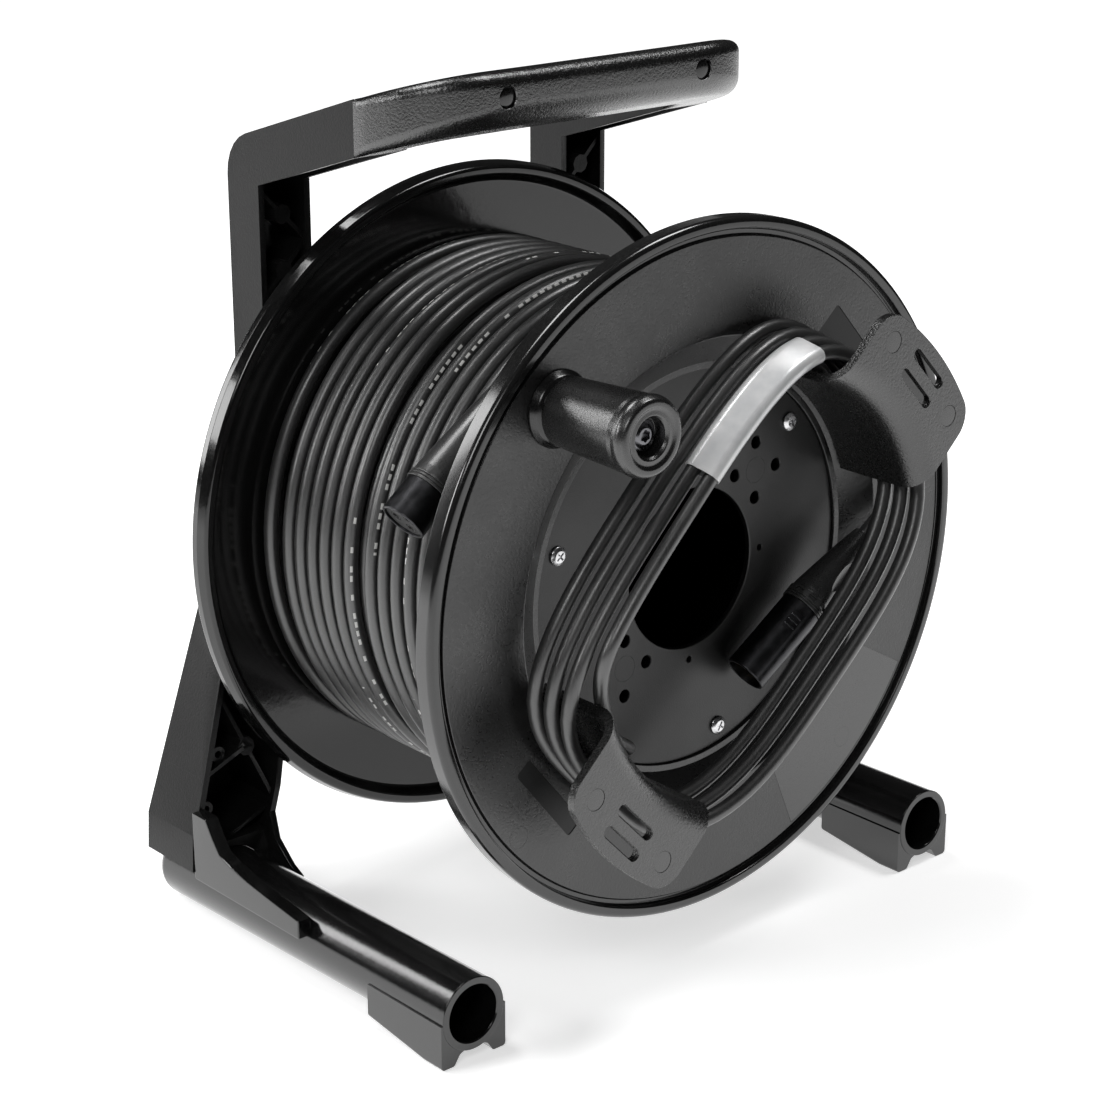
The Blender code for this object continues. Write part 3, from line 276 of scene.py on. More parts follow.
def aimed(bm, origin, direction, side):
    """Local +Y turned to a direction and local +X to a side square to it."""
    along = Vector(direction).normalized()
    across = (Vector(side) - along * along.dot(Vector(side))).normalized()
    turn = Matrix((across, along, across.cross(along))).transposed().to_4x4()
    bmesh.ops.transform(bm, matrix=Matrix.Translation(origin) @ turn, verts=bm.verts)
    return bm


foot_plastic = plastic("foot_plastic", 0.006, 0.16, 900.0, 0.006, streak=0.03, gloss=0.62)

for side, word in ((-1.0, "left"), (1.0, "right")):
    front = FOOT_FRONT[0]
    barrel = turned([(FOOT_FRONT_R, 0.0, 0.5), (FOOT_R, FOOT_LEN, 6.0)], 96)
    place = (FOOT_X * side, FOOT_FRONT[0], FOOT_FRONT[1])
    foot = aimed(barrel, place, (0.0, 1.0, -FOOT_FALL), (1, 0, 0))

    def block_section(y, floor):
        shape = filleted([(-17.2, 20.5), (-17.2, floor, 1.6), (-10.4, floor, 1.6), (-7.4, floor + 4.6, 3.0),
                          (0.0, floor + 7.2, 6.0), (7.4, floor + 4.6, 3.0), (10.4, floor, 1.6), (17.2, floor, 1.6),
                          (17.2, 20.5)], 4)
        return [((FOOT_X + x) * side, y, z) for x, z in shape]

    block = swept([block_section(front + 0.3, 0.05), block_section(front + 12.0, 0.0),
                   block_section(front + 49.6, 5.0), block_section(front + 49.9, 5.4)])
    foot = carve(foot, block, "UNION")

    edge = LEG_FACE - 0.02
    web = pushed([(edge, 25.0), (edge, 58.0), (edge - 10.7, 58.0), (edge - 15.7, 50.3), (edge - 20.7, 44.3),
                  (edge - 29.7, 41.3), (edge - 41.7, 38.8), (edge - 59.7, 36.3), (edge - 79.7, 33.8),
                  (edge - 79.7, 25.0)], "X", FOOT_X + 13.2, FOOT_X + 20.4)
    round_edges(web, 0.9, segments=2, longer=4.0)
    bmesh.ops.scale(web, verts=web.verts, vec=(side, 1.0, 1.0))
    outward(web)
    foot = carve(foot, web, "UNION")

    def web_section(y, lean, top, thick):
        shape = filleted([(lean, top, 0.7), (lean + thick, top, 0.7), (-11.5, 25.0), (-15.0, 16.0)], 3)
        return [((FOOT_X + x) * side, y, z) for x, z in shape]

    foot = carve(foot, swept([web_section(edge, -25.8, 45.3, 3.5), web_section(edge - 7.7, -22.8, 35.3, 3.3),
                              web_section(edge - 22.7, -19.8, 28.3, 3.0),
                              web_section(edge - 31.7, -18.0, 26.5, 3.0)]), "UNION")
    mouth = turned([(FOOT_BORE + 5.5, -5.0), (FOOT_BORE, 0.6, 0.4), (FOOT_BORE, FOOT_LEN - 13.0, 2.0)], 96)
    foot = carve(foot, aimed(mouth, place, (0.0, 1.0, -FOOT_FALL), (1, 0, 0)))
    show("foot_tube_" + word, foot, foot_plastic, "foot_" + word, body="frame", slot="smooth_plastic")


# Cross member
# A ribbed channel of the same moulding as the uprights, behind the drum, whose boss grips the axle.

beam = packed_solid("axle_beam")
round_edges(beam, 0.8, segments=2, longer=20.0)
show("cross_member", beam, frame_plastic, "axle_beam", body="frame")


# Carry grip
# A rounded bar moulded in a U between the two arms, inclined with them, with a coarse stipple that gives a hold.
# Two small plugs close the holes of the moulding's core pins in its front face.

Y_CHANNEL = 99.5
Y_ARM_END = 30.0
Y_GRIP = -14.5
ARM_ROOT_Z = 333.3
ARM_RISE = 0.3168
ARM_H = 24.3
PLUG_HOLES = (("left", -55.7), ("right", 55.7))
GRIP_W = 34.5
GRIP_CORNER = 42.0
UPRIGHT_IN = 74.0
UPRIGHT_OUT = 101.7


def arm_under(y):
    return ARM_ROOT_Z + ARM_RISE * (Y_CHANNEL - y)


stations = [((UPRIGHT_OUT, Y_ARM_END - 0.02), (UPRIGHT_IN, Y_ARM_END - 0.02), 1.5),
            ((UPRIGHT_OUT, Y_ARM_END - 0.5), (UPRIGHT_IN, Y_ARM_END - 0.5), 2.2)]
for i in range(19):
    angle = math.radians(5.0 * i)
    outside = (UPRIGHT_OUT - GRIP_CORNER * (1.0 - math.cos(angle)), Y_GRIP + GRIP_CORNER * (1.0 - math.sin(angle)))
    inside = (UPRIGHT_IN - 9.0 * (1.0 - math.cos(angle)), Y_GRIP + GRIP_W + 9.0 * (1.0 - math.sin(angle)))
    stations.append((outside, inside, 4.0 + 5.0 * i / 18.0))
stations += [((x, Y_GRIP), (x, Y_GRIP + GRIP_W), 9.5) for x in (40.0, 20.0)]
stations += [((-a[0], a[1]), (-b[0], b[1]), r) for a, b, r in stations[::-1]]
sections = []
for outside, inside, radius in stations:
    o, i = Vector(outside), Vector(inside)
    width = (o - i).length
    shape = filleted([(0, 0, radius), (width, 0, radius), (width, ARM_H, radius), (0, ARM_H, radius)], 8)
    spots = [(i + (o - i) * across / width, rise) for across, rise in shape]
    sections.append([(spot.x, spot.y, arm_under(spot.y) + rise) for spot, rise in spots])
grip = swept(sections)

plug_z = arm_under(Y_GRIP) + ARM_H / 2.0 - 1.0
for word, x in PLUG_HOLES:
    hole = turned([(5.6, Y_GRIP - 3.0), (5.0, Y_GRIP - 0.1), (4.5, Y_GRIP + 0.5), (4.5, Y_GRIP + 2.6)], 48, x, plug_z)
    grip = carve(grip, hole)

grip_plastic = plastic("grip_plastic", 0.008, 0.25, 1000.0, 0.22, gloss=1.0)
show("hand_grip", grip, grip_plastic, "carry_grip", body="frame")
for word, x in PLUG_HOLES:
    plug = turned([(3.0, Y_GRIP + 0.9), (4.2, Y_GRIP + 1.3, 0.4), (4.2, Y_GRIP + 2.5)], 48, x, plug_z, soft=3)
    show("core_plug_" + word, plug, foot_plastic, "grip_plug_" + word, body="frame")


# Axle with its washers and nuts
# A ground steel rod, held in the cross member by a nut and washer behind it; all of it is bright zinc plated.

AXIS_Z = 178.3
Y_FRAME = 122.4
Y_BACK = 83.8
Y_AXLE = 134.5
AXLE_R = 10.0
SLEEVE_LEN = 64.0
HUB_REAR = 4.2
BOSS_FRONT = 8.7
NUT_FLATS = 28.0
PATCH_SCALE = 260.0


def tinted(tree, value, dark, pale):
    """A colour between two, by a pattern."""
    ramp = add(tree, "ValToRGB", {"Fac": value})
    for element, position, colour in zip(ramp.color_ramp.elements, (0.3, 0.7), (dark, pale)):
        element.position = position
        element.color = (*colour, 1.0)
    return ramp.outputs["Color"]


def metal(name, colour, roughness, brushed, scratch):
    """Bare or plated metal with fine turning marks and dull patches."""
    material, tree, shader = surface(name, {"Metallic": 1.0})
    patches = noise(tree, PATCH_SCALE, 5.0)
    fill(shader, {"Base Color": tinted(tree, patches, [0.7 * c for c in colour], colour),
                  "Roughness": spread(tree, patches, roughness * 0.7, roughness * 1.4),
                  "Normal": raised(tree, noise(tree, brushed, 2.0), scratch)})
    return material


def bright_ring(low, high, inner, outer, soft=0.5):
    corners = [(inner, low, soft), (outer, low, soft), (outer, high, soft), (inner, high, soft)]
    return lathe(filleted(corners, 3), 96, z=AXIS_Z)


def hex_nut(low, height):
    """A hexagon with its corners turned down on both faces, bored for the axle."""
    corner = NUT_FLATS / math.sqrt(3.0)
    nut = pushed([(corner * math.cos(k * math.pi / 3), AXIS_Z + corner * math.sin(k * math.pi / 3))
                  for k in range(6)], "Y", low, low + height)
    cone = [(0.0, low), (14.2, low), (corner + 0.2, low + 1.3), (corner + 0.2, low + height - 1.3),
            (14.2, low + height), (0.0, low + height)]
    nut = carve(nut, lathe(cone, 96, z=AXIS_Z), "INTERSECT")
    bore = [(0.0, low - 2.0), (11.5, low - 2.0), (AXLE_R + 0.02, low + 1.0), (AXLE_R + 0.02, low + height - 1.0),
            (11.5, low + height + 2.0), (0.0, low + height + 2.0)]
    return carve(nut, lathe(bore, 96, z=AXIS_Z))


zinc = metal("bright_zinc", (0.66, 0.66, 0.67), 0.26, 2400.0, 0.01)
bronze = metal("sintered_bronze", (0.47, 0.31, 0.15), 0.42, 1800.0, 0.03)

rod_front = Y_BACK - SLEEVE_LEN - 14.5
rod = turned([(AXLE_R - 1.5, rod_front, 0.3), (AXLE_R, rod_front + 1.5, 0.3), (AXLE_R, Y_AXLE - 1.5, 0.3),
              (AXLE_R - 1.5, Y_AXLE, 0.3)], 96, z=AXIS_Z, soft=3)
show("axle_rod", rod, zinc, "axle_shaft", body="frame", slot="zinc_steel")
hub_rear, hub_front = Y_BACK + HUB_REAR, Y_BACK - SLEEVE_LEN
for name, node, piece in (
        ("rear_washer", "axle_washer_rear", bright_ring(Y_FRAME + 0.02, Y_FRAME + 2.22, AXLE_R + 0.02, 19.0)),
        ("rear_nut", "axle_nut_rear", hex_nut(Y_FRAME + 2.24, 7.0)),
        ("rear_thrust_washer", "thrust_washer_rear",
         bright_ring(hub_rear + 0.02, Y_BACK + BOSS_FRONT - 0.02, AXLE_R + 0.02, 18.0)),
        ("front_thrust_washer", "thrust_washer_front",
         bright_ring(hub_front - 2.22, hub_front - 0.02, AXLE_R + 0.02, 18.0)),
        ("front_nut", "axle_nut_front", hex_nut(hub_front - 10.24, 8.0))):
    show(name, piece, zinc, node, body="frame", slot="zinc_steel")
for word, low in (("front", hub_front), ("rear", hub_rear - 16.0)):
    show("bearing_" + word, bright_ring(low, low + 16.0, AXLE_R + 0.1, AXLE_R + 4.0, 0.6), bronze,
         "axle_bush_" + word, slot="bronze")


# Rear flange and barrel
# The rear flange is one glossy disc with a rolled lip and the long bearing sleeve; the barrel is pressed into it.

FLANGE_R = 155.0
WALL = 3.0
BARREL_R = 98.0
HUB_R = 22.0
Y_FACE = -79.5
Y_DISC = 80.0

hub_in = AXLE_R + 4.02
spigot = BARREL_R - WALL - 0.02
disc = lathe(filleted([(hub_in, hub_front, 0.6), (HUB_R, hub_front, 1.2), (HUB_R, Y_DISC, 2.5),
                       (spigot - WALL, Y_DISC, 0.4), (spigot - WALL, Y_DISC - 14.0, 0.8),
                       (spigot, Y_DISC - 14.0, 0.8), (spigot, Y_DISC, 0.2), (FLANGE_R - 8.6, Y_DISC, 2.0),
                       (FLANGE_R - 5.6, Y_DISC - 5.4, 1.6), (FLANGE_R - 1.6, Y_DISC - 5.4, 2.2),
                       (FLANGE_R, Y_DISC - 0.4, 1.0), (FLANGE_R, Y_BACK, 1.2), (HUB_R, Y_BACK, 0.4),
                       (HUB_R, hub_rear, 1.0), (hub_in, hub_rear, 0.6)], 5), 192, z=AXIS_Z)
gloss_plastic = plastic("gloss_plastic", 0.005, 0.12, 700.0, 0.004, streak=0.04)
show("rear_disc", disc, gloss_plastic, "rear_flange", slot="smooth_plastic")

barrel_front = Y_FACE + 10.0
barrel = filleted([(BARREL_R - WALL, barrel_front, 0.4), (BARREL_R, barrel_front, 0.4),
                   (BARREL_R, Y_DISC - 0.02, 0.4), (BARREL_R - WALL, Y_DISC - 0.02, 0.4)], 3)
show("barrel", lathe(barrel, 192, z=AXIS_Z), frame_plastic, "drum_barrel")


# Front flange
# One moulding with a polished rolled rim, a finely stippled face and a dished recess for the stowed plug.
# The round ejector marks, the smooth field for a label and two shallow bare panels are part of the mould.

RECESS_RIM_R = 104.5
RECESS_R = 91.5
RECESS_DEPTH = 11.0
Y_FLOOR = Y_FACE + RECESS_DEPTH
Y_LEDGE = Y_FLOOR + WALL + 0.02
LEDGE_IN_R = 76.0
KNOB_X, KNOB_Z = -85.907, 268.827
SCREWS = (80.3, (43.0, 163.0, 283.0))
EJECTORS = ((141.0, 134.6), (140.6, 220.0), (134.0, 311.5))
EJECTOR_R = 4.7
FIELD_IN, FIELD_OUT = RECESS_RIM_R + 2.2, FLANGE_R - 9.6
FIELD = (-67.2, -30.0)
PANELS = (("lower", -90.9, -77.5, -51.4, 23.0, 4.6), ("upper", 76.9, 90.0, -48.0, 13.4, 10.2))
RIM_POLISH = 0.15


def polar(radius, degrees):
    angle = math.radians(degrees)
    return radius * math.cos(angle), AXIS_Z + radius * math.sin(angle)


def recess_back(radius):
    """How far along Y the back of the recess wall lies at a radius."""
    run, drop = RECESS_RIM_R - RECESS_R, RECESS_DEPTH - 1.5
    length = math.hypot(run, drop)
    return Y_FACE + WALL * run / length + (RECESS_RIM_R + WALL * drop / length - radius) * drop / run


def placed(points, degrees, x, z):
    """Flat points turned by some degrees and set down at a place."""
    c, s = math.cos(math.radians(degrees)), math.sin(math.radians(degrees))
    return [(x + a * c - b * s, z + a * s + b * c) for a, b in points]


def rounded(wide, tall, radius, steps, mid=0.0):
    """A rectangle with round corners, by half its width and half its height."""
    return filleted([(mid - wide, -tall, radius), (mid + wide, -tall, radius), (mid + wide, tall, radius),
                     (mid - wide, tall, radius)], steps)


def sector(inner, outer, low, high):
    """The outline between two radii and two angles round the drum axis."""
    steps = [low + (high - low) * k / 40.0 for k in range(41)]
    return [polar(inner, degrees) for degrees in steps] + [polar(outer, degrees) for degrees in steps[::-1]]


def ejector_ring(y, radius, x, z, deep=0.35, wide=0.35):
    """The thin groove round the mark of an ejector pin."""
    return lathe([(radius, y - 1.0), (radius + wide, y - 1.0), (radius + wide * 0.5, y + deep)], 48, x, z)


back = Y_FACE + WALL
wall_top = Y_FLOOR - 1.5
back_r = RECESS_RIM_R + 3.9
flange = lathe(filleted([(FLANGE_R - 8.5, Y_FACE, 0.5), (FLANGE_R - 7.8, Y_FACE + 1.5, 0.4),
                         (FLANGE_R - 5.8, Y_FACE + 1.5, 0.4), (FLANGE_R - 5.2, Y_FACE - 2.0, 1.0),
                         (FLANGE_R, Y_FACE - 2.0, 2.6), (FLANGE_R, Y_FACE + 7.0, 0.6),
                         (FLANGE_R - WALL, Y_FACE + 7.0, 0.6), (FLANGE_R - WALL, back, 2.0), (back_r, back, 2.0),
                         (spigot, recess_back(spigot), 0.8), (spigot, Y_LEDGE + 7.0, 0.6),
                         (spigot - WALL, Y_LEDGE + 7.0, 0.6), (spigot - WALL, Y_LEDGE + WALL, 0.3),
                         (LEDGE_IN_R, Y_LEDGE + WALL, 0.5), (LEDGE_IN_R, Y_LEDGE, 0.5), (RECESS_R - WALL, Y_LEDGE),
                         (RECESS_R - WALL, wall_top, 0.4), (RECESS_R, wall_top, 0.5), (RECESS_RIM_R, Y_FACE, 1.6)], 5),
               192, z=AXIS_Z)
flange = carve(flange, turned([(5.02, Y_FACE - 5.0), (5.02, Y_FACE + 9.0)], 48, KNOB_X, KNOB_Z))
screw_places = [polar(SCREWS[0], degrees) for degrees in SCREWS[1]]
for x, z in screw_places:
    flange = carve(flange, turned([(2.2, Y_LEDGE - 1.0), (2.2, Y_LEDGE + 8.0)], 32, x, z))
for radius, degrees in EJECTORS:
    flange = carve(flange, ejector_ring(Y_FACE, EJECTOR_R, *polar(radius, degrees)))
flange = carve(flange, pushed(sector(FIELD_IN, FIELD_OUT, *FIELD), "Y", Y_FACE - 1.0, Y_FACE + 0.35))
panels = {}
for word, x, z, degrees, half_long, half_wide in PANELS:
    panels[word] = placed(rounded(half_long, half_wide, 1.6, 4), degrees, x, AXIS_Z + z)
    flange = carve(flange, pushed(panels[word], "Y", Y_FACE - 1.0, Y_FACE + 0.5))
stipple_plastic = plastic("stipple_plastic", 0.010, 0.32, 950.0, 0.13, gloss=0.64)
tree = stipple_plastic.node_tree
shader, place = tree.nodes["Principled BSDF"], tree.nodes["Texture Coordinate"].outputs["Object"]
from_axis = add(tree, "VectorMath", {0: place, 1: (1.0, 0.0, 1.0), 2: (0.0, 0.0, -AXIS_Z * MM)},
                operation="MULTIPLY_ADD")
reach = add(tree, "VectorMath", {0: from_axis.outputs["Vector"]}, operation="LENGTH").outputs["Value"]
on_rim = spread(tree, reach, 0.0, 1.0, (FLANGE_R - 8.8) * MM, (FLANGE_R - 8.2) * MM)
grained = shader.inputs["Roughness"].links[0].from_socket
shine = add(tree, "MixRGB", {"Fac": on_rim, "Color1": grained, "Color2": (*[RIM_POLISH] * 3, 1.0)})
fill(shader, {"Roughness": shine.outputs["Color"]})
fill(tree.nodes["Bump"], {"Strength": spread(tree, on_rim, 1.0, 0.04)})
show("front_disc", flange, stipple_plastic, "front_flange")

inset = sector(FIELD_IN + 0.15, FIELD_OUT - 0.15, FIELD[0] + 0.08, FIELD[1] - 0.08)
field_plate = pushed(inset, "Y", Y_FACE + 0.05, Y_FACE + 0.34)
field_plate = carve(field_plate, ejector_ring(Y_FACE + 0.05, EJECTOR_R, *polar(*EJECTORS[2]), 0.2, 0.3))
satin_plastic = plastic("satin_plastic", 0.018, 0.24, 1600.0, 0.006, gloss=0.8)
show("label_field", field_plate, satin_plastic)
panel_plastic = plastic("panel_plastic", 0.005, 0.34, 1400.0, 0.02, gloss=0.25)
for word, panel in panels.items():
    show("panel_" + word, pushed(panel, "Y", Y_FACE + 0.3, Y_FACE + 0.49), panel_plastic)


# Hub plate and its screws
# A plain moulded disc that closes the recess; the groups of holes take accessories, the middle is open to the barrel.
# Three bright self-tapping screws with cross recesses hold it on the ledge of the flange.

HUB_HOLE_R = 36.0
GUARD_ANGLE = 43.6
HOLE_GROUP_R = 53.0
HOLE_SPREAD = 12.6

plate_edge = RECESS_R - WALL - 0.02
plate = lathe(filleted([(HUB_HOLE_R, Y_FLOOR, 0.7), (plate_edge, Y_FLOOR, 0.4), (plate_edge, Y_FLOOR + WALL, 0.4),
                        (HUB_HOLE_R, Y_FLOOR + WALL, 0.7)], 4), 192, z=AXIS_Z)


def drill(radius, x, z, rim=0.35):
    """A cutter for a round hole with a broken edge."""
    return turned([(radius + rim + 1.0, Y_FLOOR - 1.0), (radius, Y_FLOOR + rim), (radius, Y_FLOOR + 8.0)], 32, x, z)


for mid in (GUARD_ANGLE, GUARD_ANGLE + 180.0):
    cx, cz = polar(HOLE_GROUP_R, mid)
    for dx, dz in ((1, 0), (-1, 0), (0, 1), (0, -1)):
        plate = carve(plate, drill(2.75, cx + HOLE_SPREAD * dx, cz + HOLE_SPREAD * dz))
    plate = carve(plate, ejector_ring(Y_FLOOR, 5.6, cx, cz, 0.3, 0.4))
for degrees in (0.0, 90.0, 180.0, 270.0):
    plate = carve(plate, drill(1.5, *polar(42.2, degrees), rim=0.2))
for x, z in screw_places:
    plate = carve(plate, drill(2.2, x, z))
# The plate's tone is darker than the face's. This is painted shade, standing in for the deep shadow inside the recess.
plate_plastic_painted_shade = plastic("plate_plastic_painted_shade", 0.006, 0.36, 1400.0, 0.08, gloss=0.4)
show("recess_floor", plate, plate_plastic_painted_shade, "hub_plate")

head = Y_FLOOR - 0.02
for i, (x, z) in enumerate(screw_places, start=1):
    screw = lathe(filleted([(0.0, head - 2.0), (2.6, head - 2.0, 1.2), (4.2, head - 1.0, 0.6), (4.2, head, 0.2),
                            (1.9, head, 0.2), (1.9, Y_LEDGE + WALL + 3.0), (0.0, Y_LEDGE + WALL + 4.0)], 4), 64, x, z)
    for turn in (0.0, 90.0):
        slot = placed([(-2.2, -0.45), (2.2, -0.45), (2.2, 0.45), (-2.2, 0.45)], 20.0 * i + turn, x, z)
        screw = carve(screw, pushed(slot, "Y", head - 3.0, head - 0.8))
    show(f"cross_screw_{i}", screw, zinc, f"hub_screw_{i}", slot="zinc_steel")


# Cable guards
# Two hooks of stippled plastic that rise from the recess wall and turn outward, so the stowed cable stays in.
# Each has two slots through its flat and two smooth round pads.

GUARD_R = 92.0
GUARD_WALL = 4.0
GUARD_TOP = 42.0
GUARD_REACH = 130.5
GUARD_BEND = 12.0
GUARD_HALF = 40.0
GUARD_CORNER = 9.0
SLOTS = (111.5, 122.0)
PADS = (116.0, (-27.3, 27.3))
Y_GUARD = Y_FACE - GUARD_TOP


def guard_point(radius, y, across, mid):
    """A point of a guard, by its distance from the drum axis and from its own middle line."""
    out = math.sqrt(radius * radius - across * across)
    x, z = placed([(out, across)], mid, 0.0, AXIS_Z)[0]
    return (x, y, z)


guard_plastic = plastic("guard_plastic", 0.010, 0.28, 900.0, 0.20, gloss=0.8)
slope = (RECESS_DEPTH - 1.5) / (RECESS_RIM_R - RECESS_R)
flat_from, flat_to = GUARD_R + GUARD_BEND, GUARD_REACH - GUARD_CORNER
rest = Y_FLOOR - 1.5 - slope * (GUARD_R + GUARD_WALL - RECESS_R) - 0.05
bend_y, small = Y_GUARD + GUARD_BEND, GUARD_BEND - GUARD_WALL
for name, mid in (("upper", GUARD_ANGLE), ("lower", GUARD_ANGLE + 180.0)):
    path = []
    for k in range(10):
        y = rest + (bend_y - rest) * k / 10.0
        path.append((GUARD_R, y, GUARD_R + GUARD_WALL, y, GUARD_HALF))
    for k in range(13):
        a = math.radians(7.5 * k)
        c, s = math.cos(a), math.sin(a)
        path.append((flat_from - GUARD_BEND * c, bend_y - GUARD_BEND * s,
                     flat_from - small * c, bend_y - small * s, GUARD_HALF))
    for k in range(1, 7):
        out = flat_from + (flat_to - flat_from) * k / 6.0
        path.append((out, Y_GUARD, out, Y_GUARD + GUARD_WALL, GUARD_HALF))
    for k in range(1, 9):
        a = math.radians(90.0 * k / 8.0)
        out = flat_to + GUARD_CORNER * math.sin(a)
        path.append((out, Y_GUARD, out, Y_GUARD + GUARD_WALL, GUARD_HALF - GUARD_CORNER * (1.0 - math.cos(a))))
    guard = bmesh.new()
    rows = []
    for front_r, front_y, back_r, back_y, half in path:
        rows.append([[guard.verts.new(guard_point(r, y, half * (k / 20.0 - 1.0), mid)) for k in range(41)]
                     for r, y in ((front_r, front_y), (back_r, back_y))])
    for (front_a, back_a), (front_b, back_b) in zip(rows, rows[1:]):
        for k in range(40):
            guard.faces.new((front_a[k], front_a[k + 1], front_b[k + 1], front_b[k]))
            guard.faces.new((back_a[k], back_b[k], back_b[k + 1], back_a[k + 1]))
        for k in (0, 40):
            guard.faces.new((front_a[k], front_b[k], back_b[k], back_a[k]))
    for front_row, back_row in (rows[0], rows[-1]):
        for k in range(40):
            guard.faces.new((front_row[k], front_row[k + 1], back_row[k + 1], back_row[k]))
    outward(guard)
    round_edges(guard, 0.9, segments=3, sharper=50.0)
    for u in SLOTS:
        levels = []
        for grow, y in ((1.5, -1.0), (0.5, 0.0), (0.0, 0.5), (0.0, GUARD_WALL - 0.5), (0.5, GUARD_WALL),
                        (1.5, GUARD_WALL + 1.0)):
            stadium = rounded(2.5 + grow, 12.5 + grow, 2.45 + grow, 10, u)
            levels.append([(x, Y_GUARD + y, z) for x, z in placed(stadium, mid, 0.0, AXIS_Z)])
        guard = carve(guard, swept(levels))
    pads = placed([(PADS[0], v) for v in PADS[1]], mid, 0.0, AXIS_Z)
    for x, z in pads:
        guard = carve(guard, turned([(5.0, Y_GUARD - 2.0), (4.8, Y_GUARD + 0.4)], 48, x, z))
    show("guard_" + name, guard, guard_plastic, "cable_guard_" + name)
    for word, (x, z) in zip(("a", "b"), pads):
        pad = turned([(4.7, Y_GUARD + 0.15, 0.15), (4.7, Y_GUARD + 0.39)], 48, x, z, soft=2)
        show(f"guard_{name}_pad_{word}", pad, satin_plastic)


# Crank knob
# A free-turning hollow grip of satin plastic on a steel spindle, over a flared collar moulded in black.
# A countersunk washer and a socket screw, deep in the dished end, keep it on the spindle.

Y_KNOB = -134.5
KNOB_R = 16.4
base_front = Y_FACE - 5.5
collar = lathe(filleted([(5.02, base_front, 0.3), (12.6, base_front, 0.6), (14.6, base_front + 1.6, 2.4),
                         (KNOB_R + 0.4, Y_FACE - 0.02, 0.8), (5.02, Y_FACE - 0.02)], 6), 128, KNOB_X, KNOB_Z)
knob_gloss = plastic("knob_gloss", 0.006, 0.20, 900.0, 0.008, streak=0.02)
show("knob_collar", collar, knob_gloss, "knob_base")

socket_floor = Y_KNOB + 7.5
pin = turned([(2.3, socket_floor + 10.0), (2.3, socket_floor, 0.2), (5.0, socket_floor, 0.4),
              (5.0, Y_FACE + 6.0, 0.6)], 64, KNOB_X, KNOB_Z, soft=3)
show("knob_pin", pin, zinc, "knob_spindle", slot="zinc_steel")
show("knob_lock_nut", round_edges(packed_solid("knob_nut"), 0.3, segments=2), zinc, "knob_nut", slot="zinc_steel")

lip = KNOB_R + 0.6
bore = 5.25
grip_shape = lathe(filleted([(bore, base_front - 0.02, 0.3), (KNOB_R - 2.0, base_front - 0.02, 1.4),
                             (KNOB_R - 0.1, Y_KNOB + 9.0, 6.0), (KNOB_R - 0.3, Y_KNOB + 7.0, 0.3),
                             (KNOB_R + 0.1, Y_KNOB + 6.6, 0.2), (lip, Y_KNOB + 3.6, 4.0), (lip - 1.8, Y_KNOB, 2.2),
                             (12.6, Y_KNOB, 1.6), (11.2, Y_KNOB + 0.9, 1.6), (9.0, Y_KNOB + 0.7, 0.8),
                             (7.9, Y_KNOB + 2.0, 0.6), (7.9, socket_floor, 0.3), (bore, socket_floor, 0.3)], 6), 128,
                   KNOB_X, KNOB_Z)
knob_satin = plastic("knob_satin", 0.009, 0.27, 2200.0, 0.05, gloss=0.85)
show("turning_grip", grip_shape, knob_satin, "crank_knob", body="knob")

head = socket_floor - 0.02
cap = turned([(3.4, head - 3.0, 1.0), (5.0, head - 1.7, 1.0), (6.6, head - 1.4, 0.4), (6.6, head, 0.3),
              (2.0, head), (2.0, socket_floor + 9.4)], 96, KNOB_X, KNOB_Z, soft=4)
lobes = []
for k in range(24):
    a = math.tau * k / 24.0
    lobe = 2.35 - 0.3 * math.cos(6.0 * a)
    lobes.append((KNOB_X + lobe * math.cos(a), KNOB_Z + lobe * math.sin(a)))
cap = carve(cap, pushed(lobes, "Y", head - 5.0, head - 1.0))
dark_steel = metal("blackened_steel", (0.16, 0.16, 0.17), 0.24, 1600.0, 0.02)
show("knob_cap_screw", cap, dark_steel, "knob_screw", slot="zinc_steel")


# Wound cable
# Round black cable of soft PVC, wound on the barrel in level turns; the outer layer steps over twice.
# Pale printed marks repeat along its jacket, and the layer below shows dark between the turns.

CABLE_D = 6.5
PITCH = 8.8
TURNS = 16
CORE_R = 114.4
WIND_R = (CORE_R + CABLE_D / 2.0 + 0.35) / math.cos(math.pi / 24)
WIND_END_R = WIND_R + CABLE_D + 3.1
PLUG_ANGLE = 129.7
PLUG_Y = Y_FACE + 28.5
FEMALE_LEN = 77.0
PRINT_PERIOD, PRINT_SHARE = 0.33, 0.30
STROKE_PERIOD, STROKE_SHARE = 0.0042, 0.62
PRINT_HALF_ANGLE = 0.20
PRINT_TONE = (0.62, 0.62, 0.60, 1.0)


def smooth(t):
    t = min(max(t, 0.0), 1.0)
    return t * t * (3.0 - 2.0 * t)


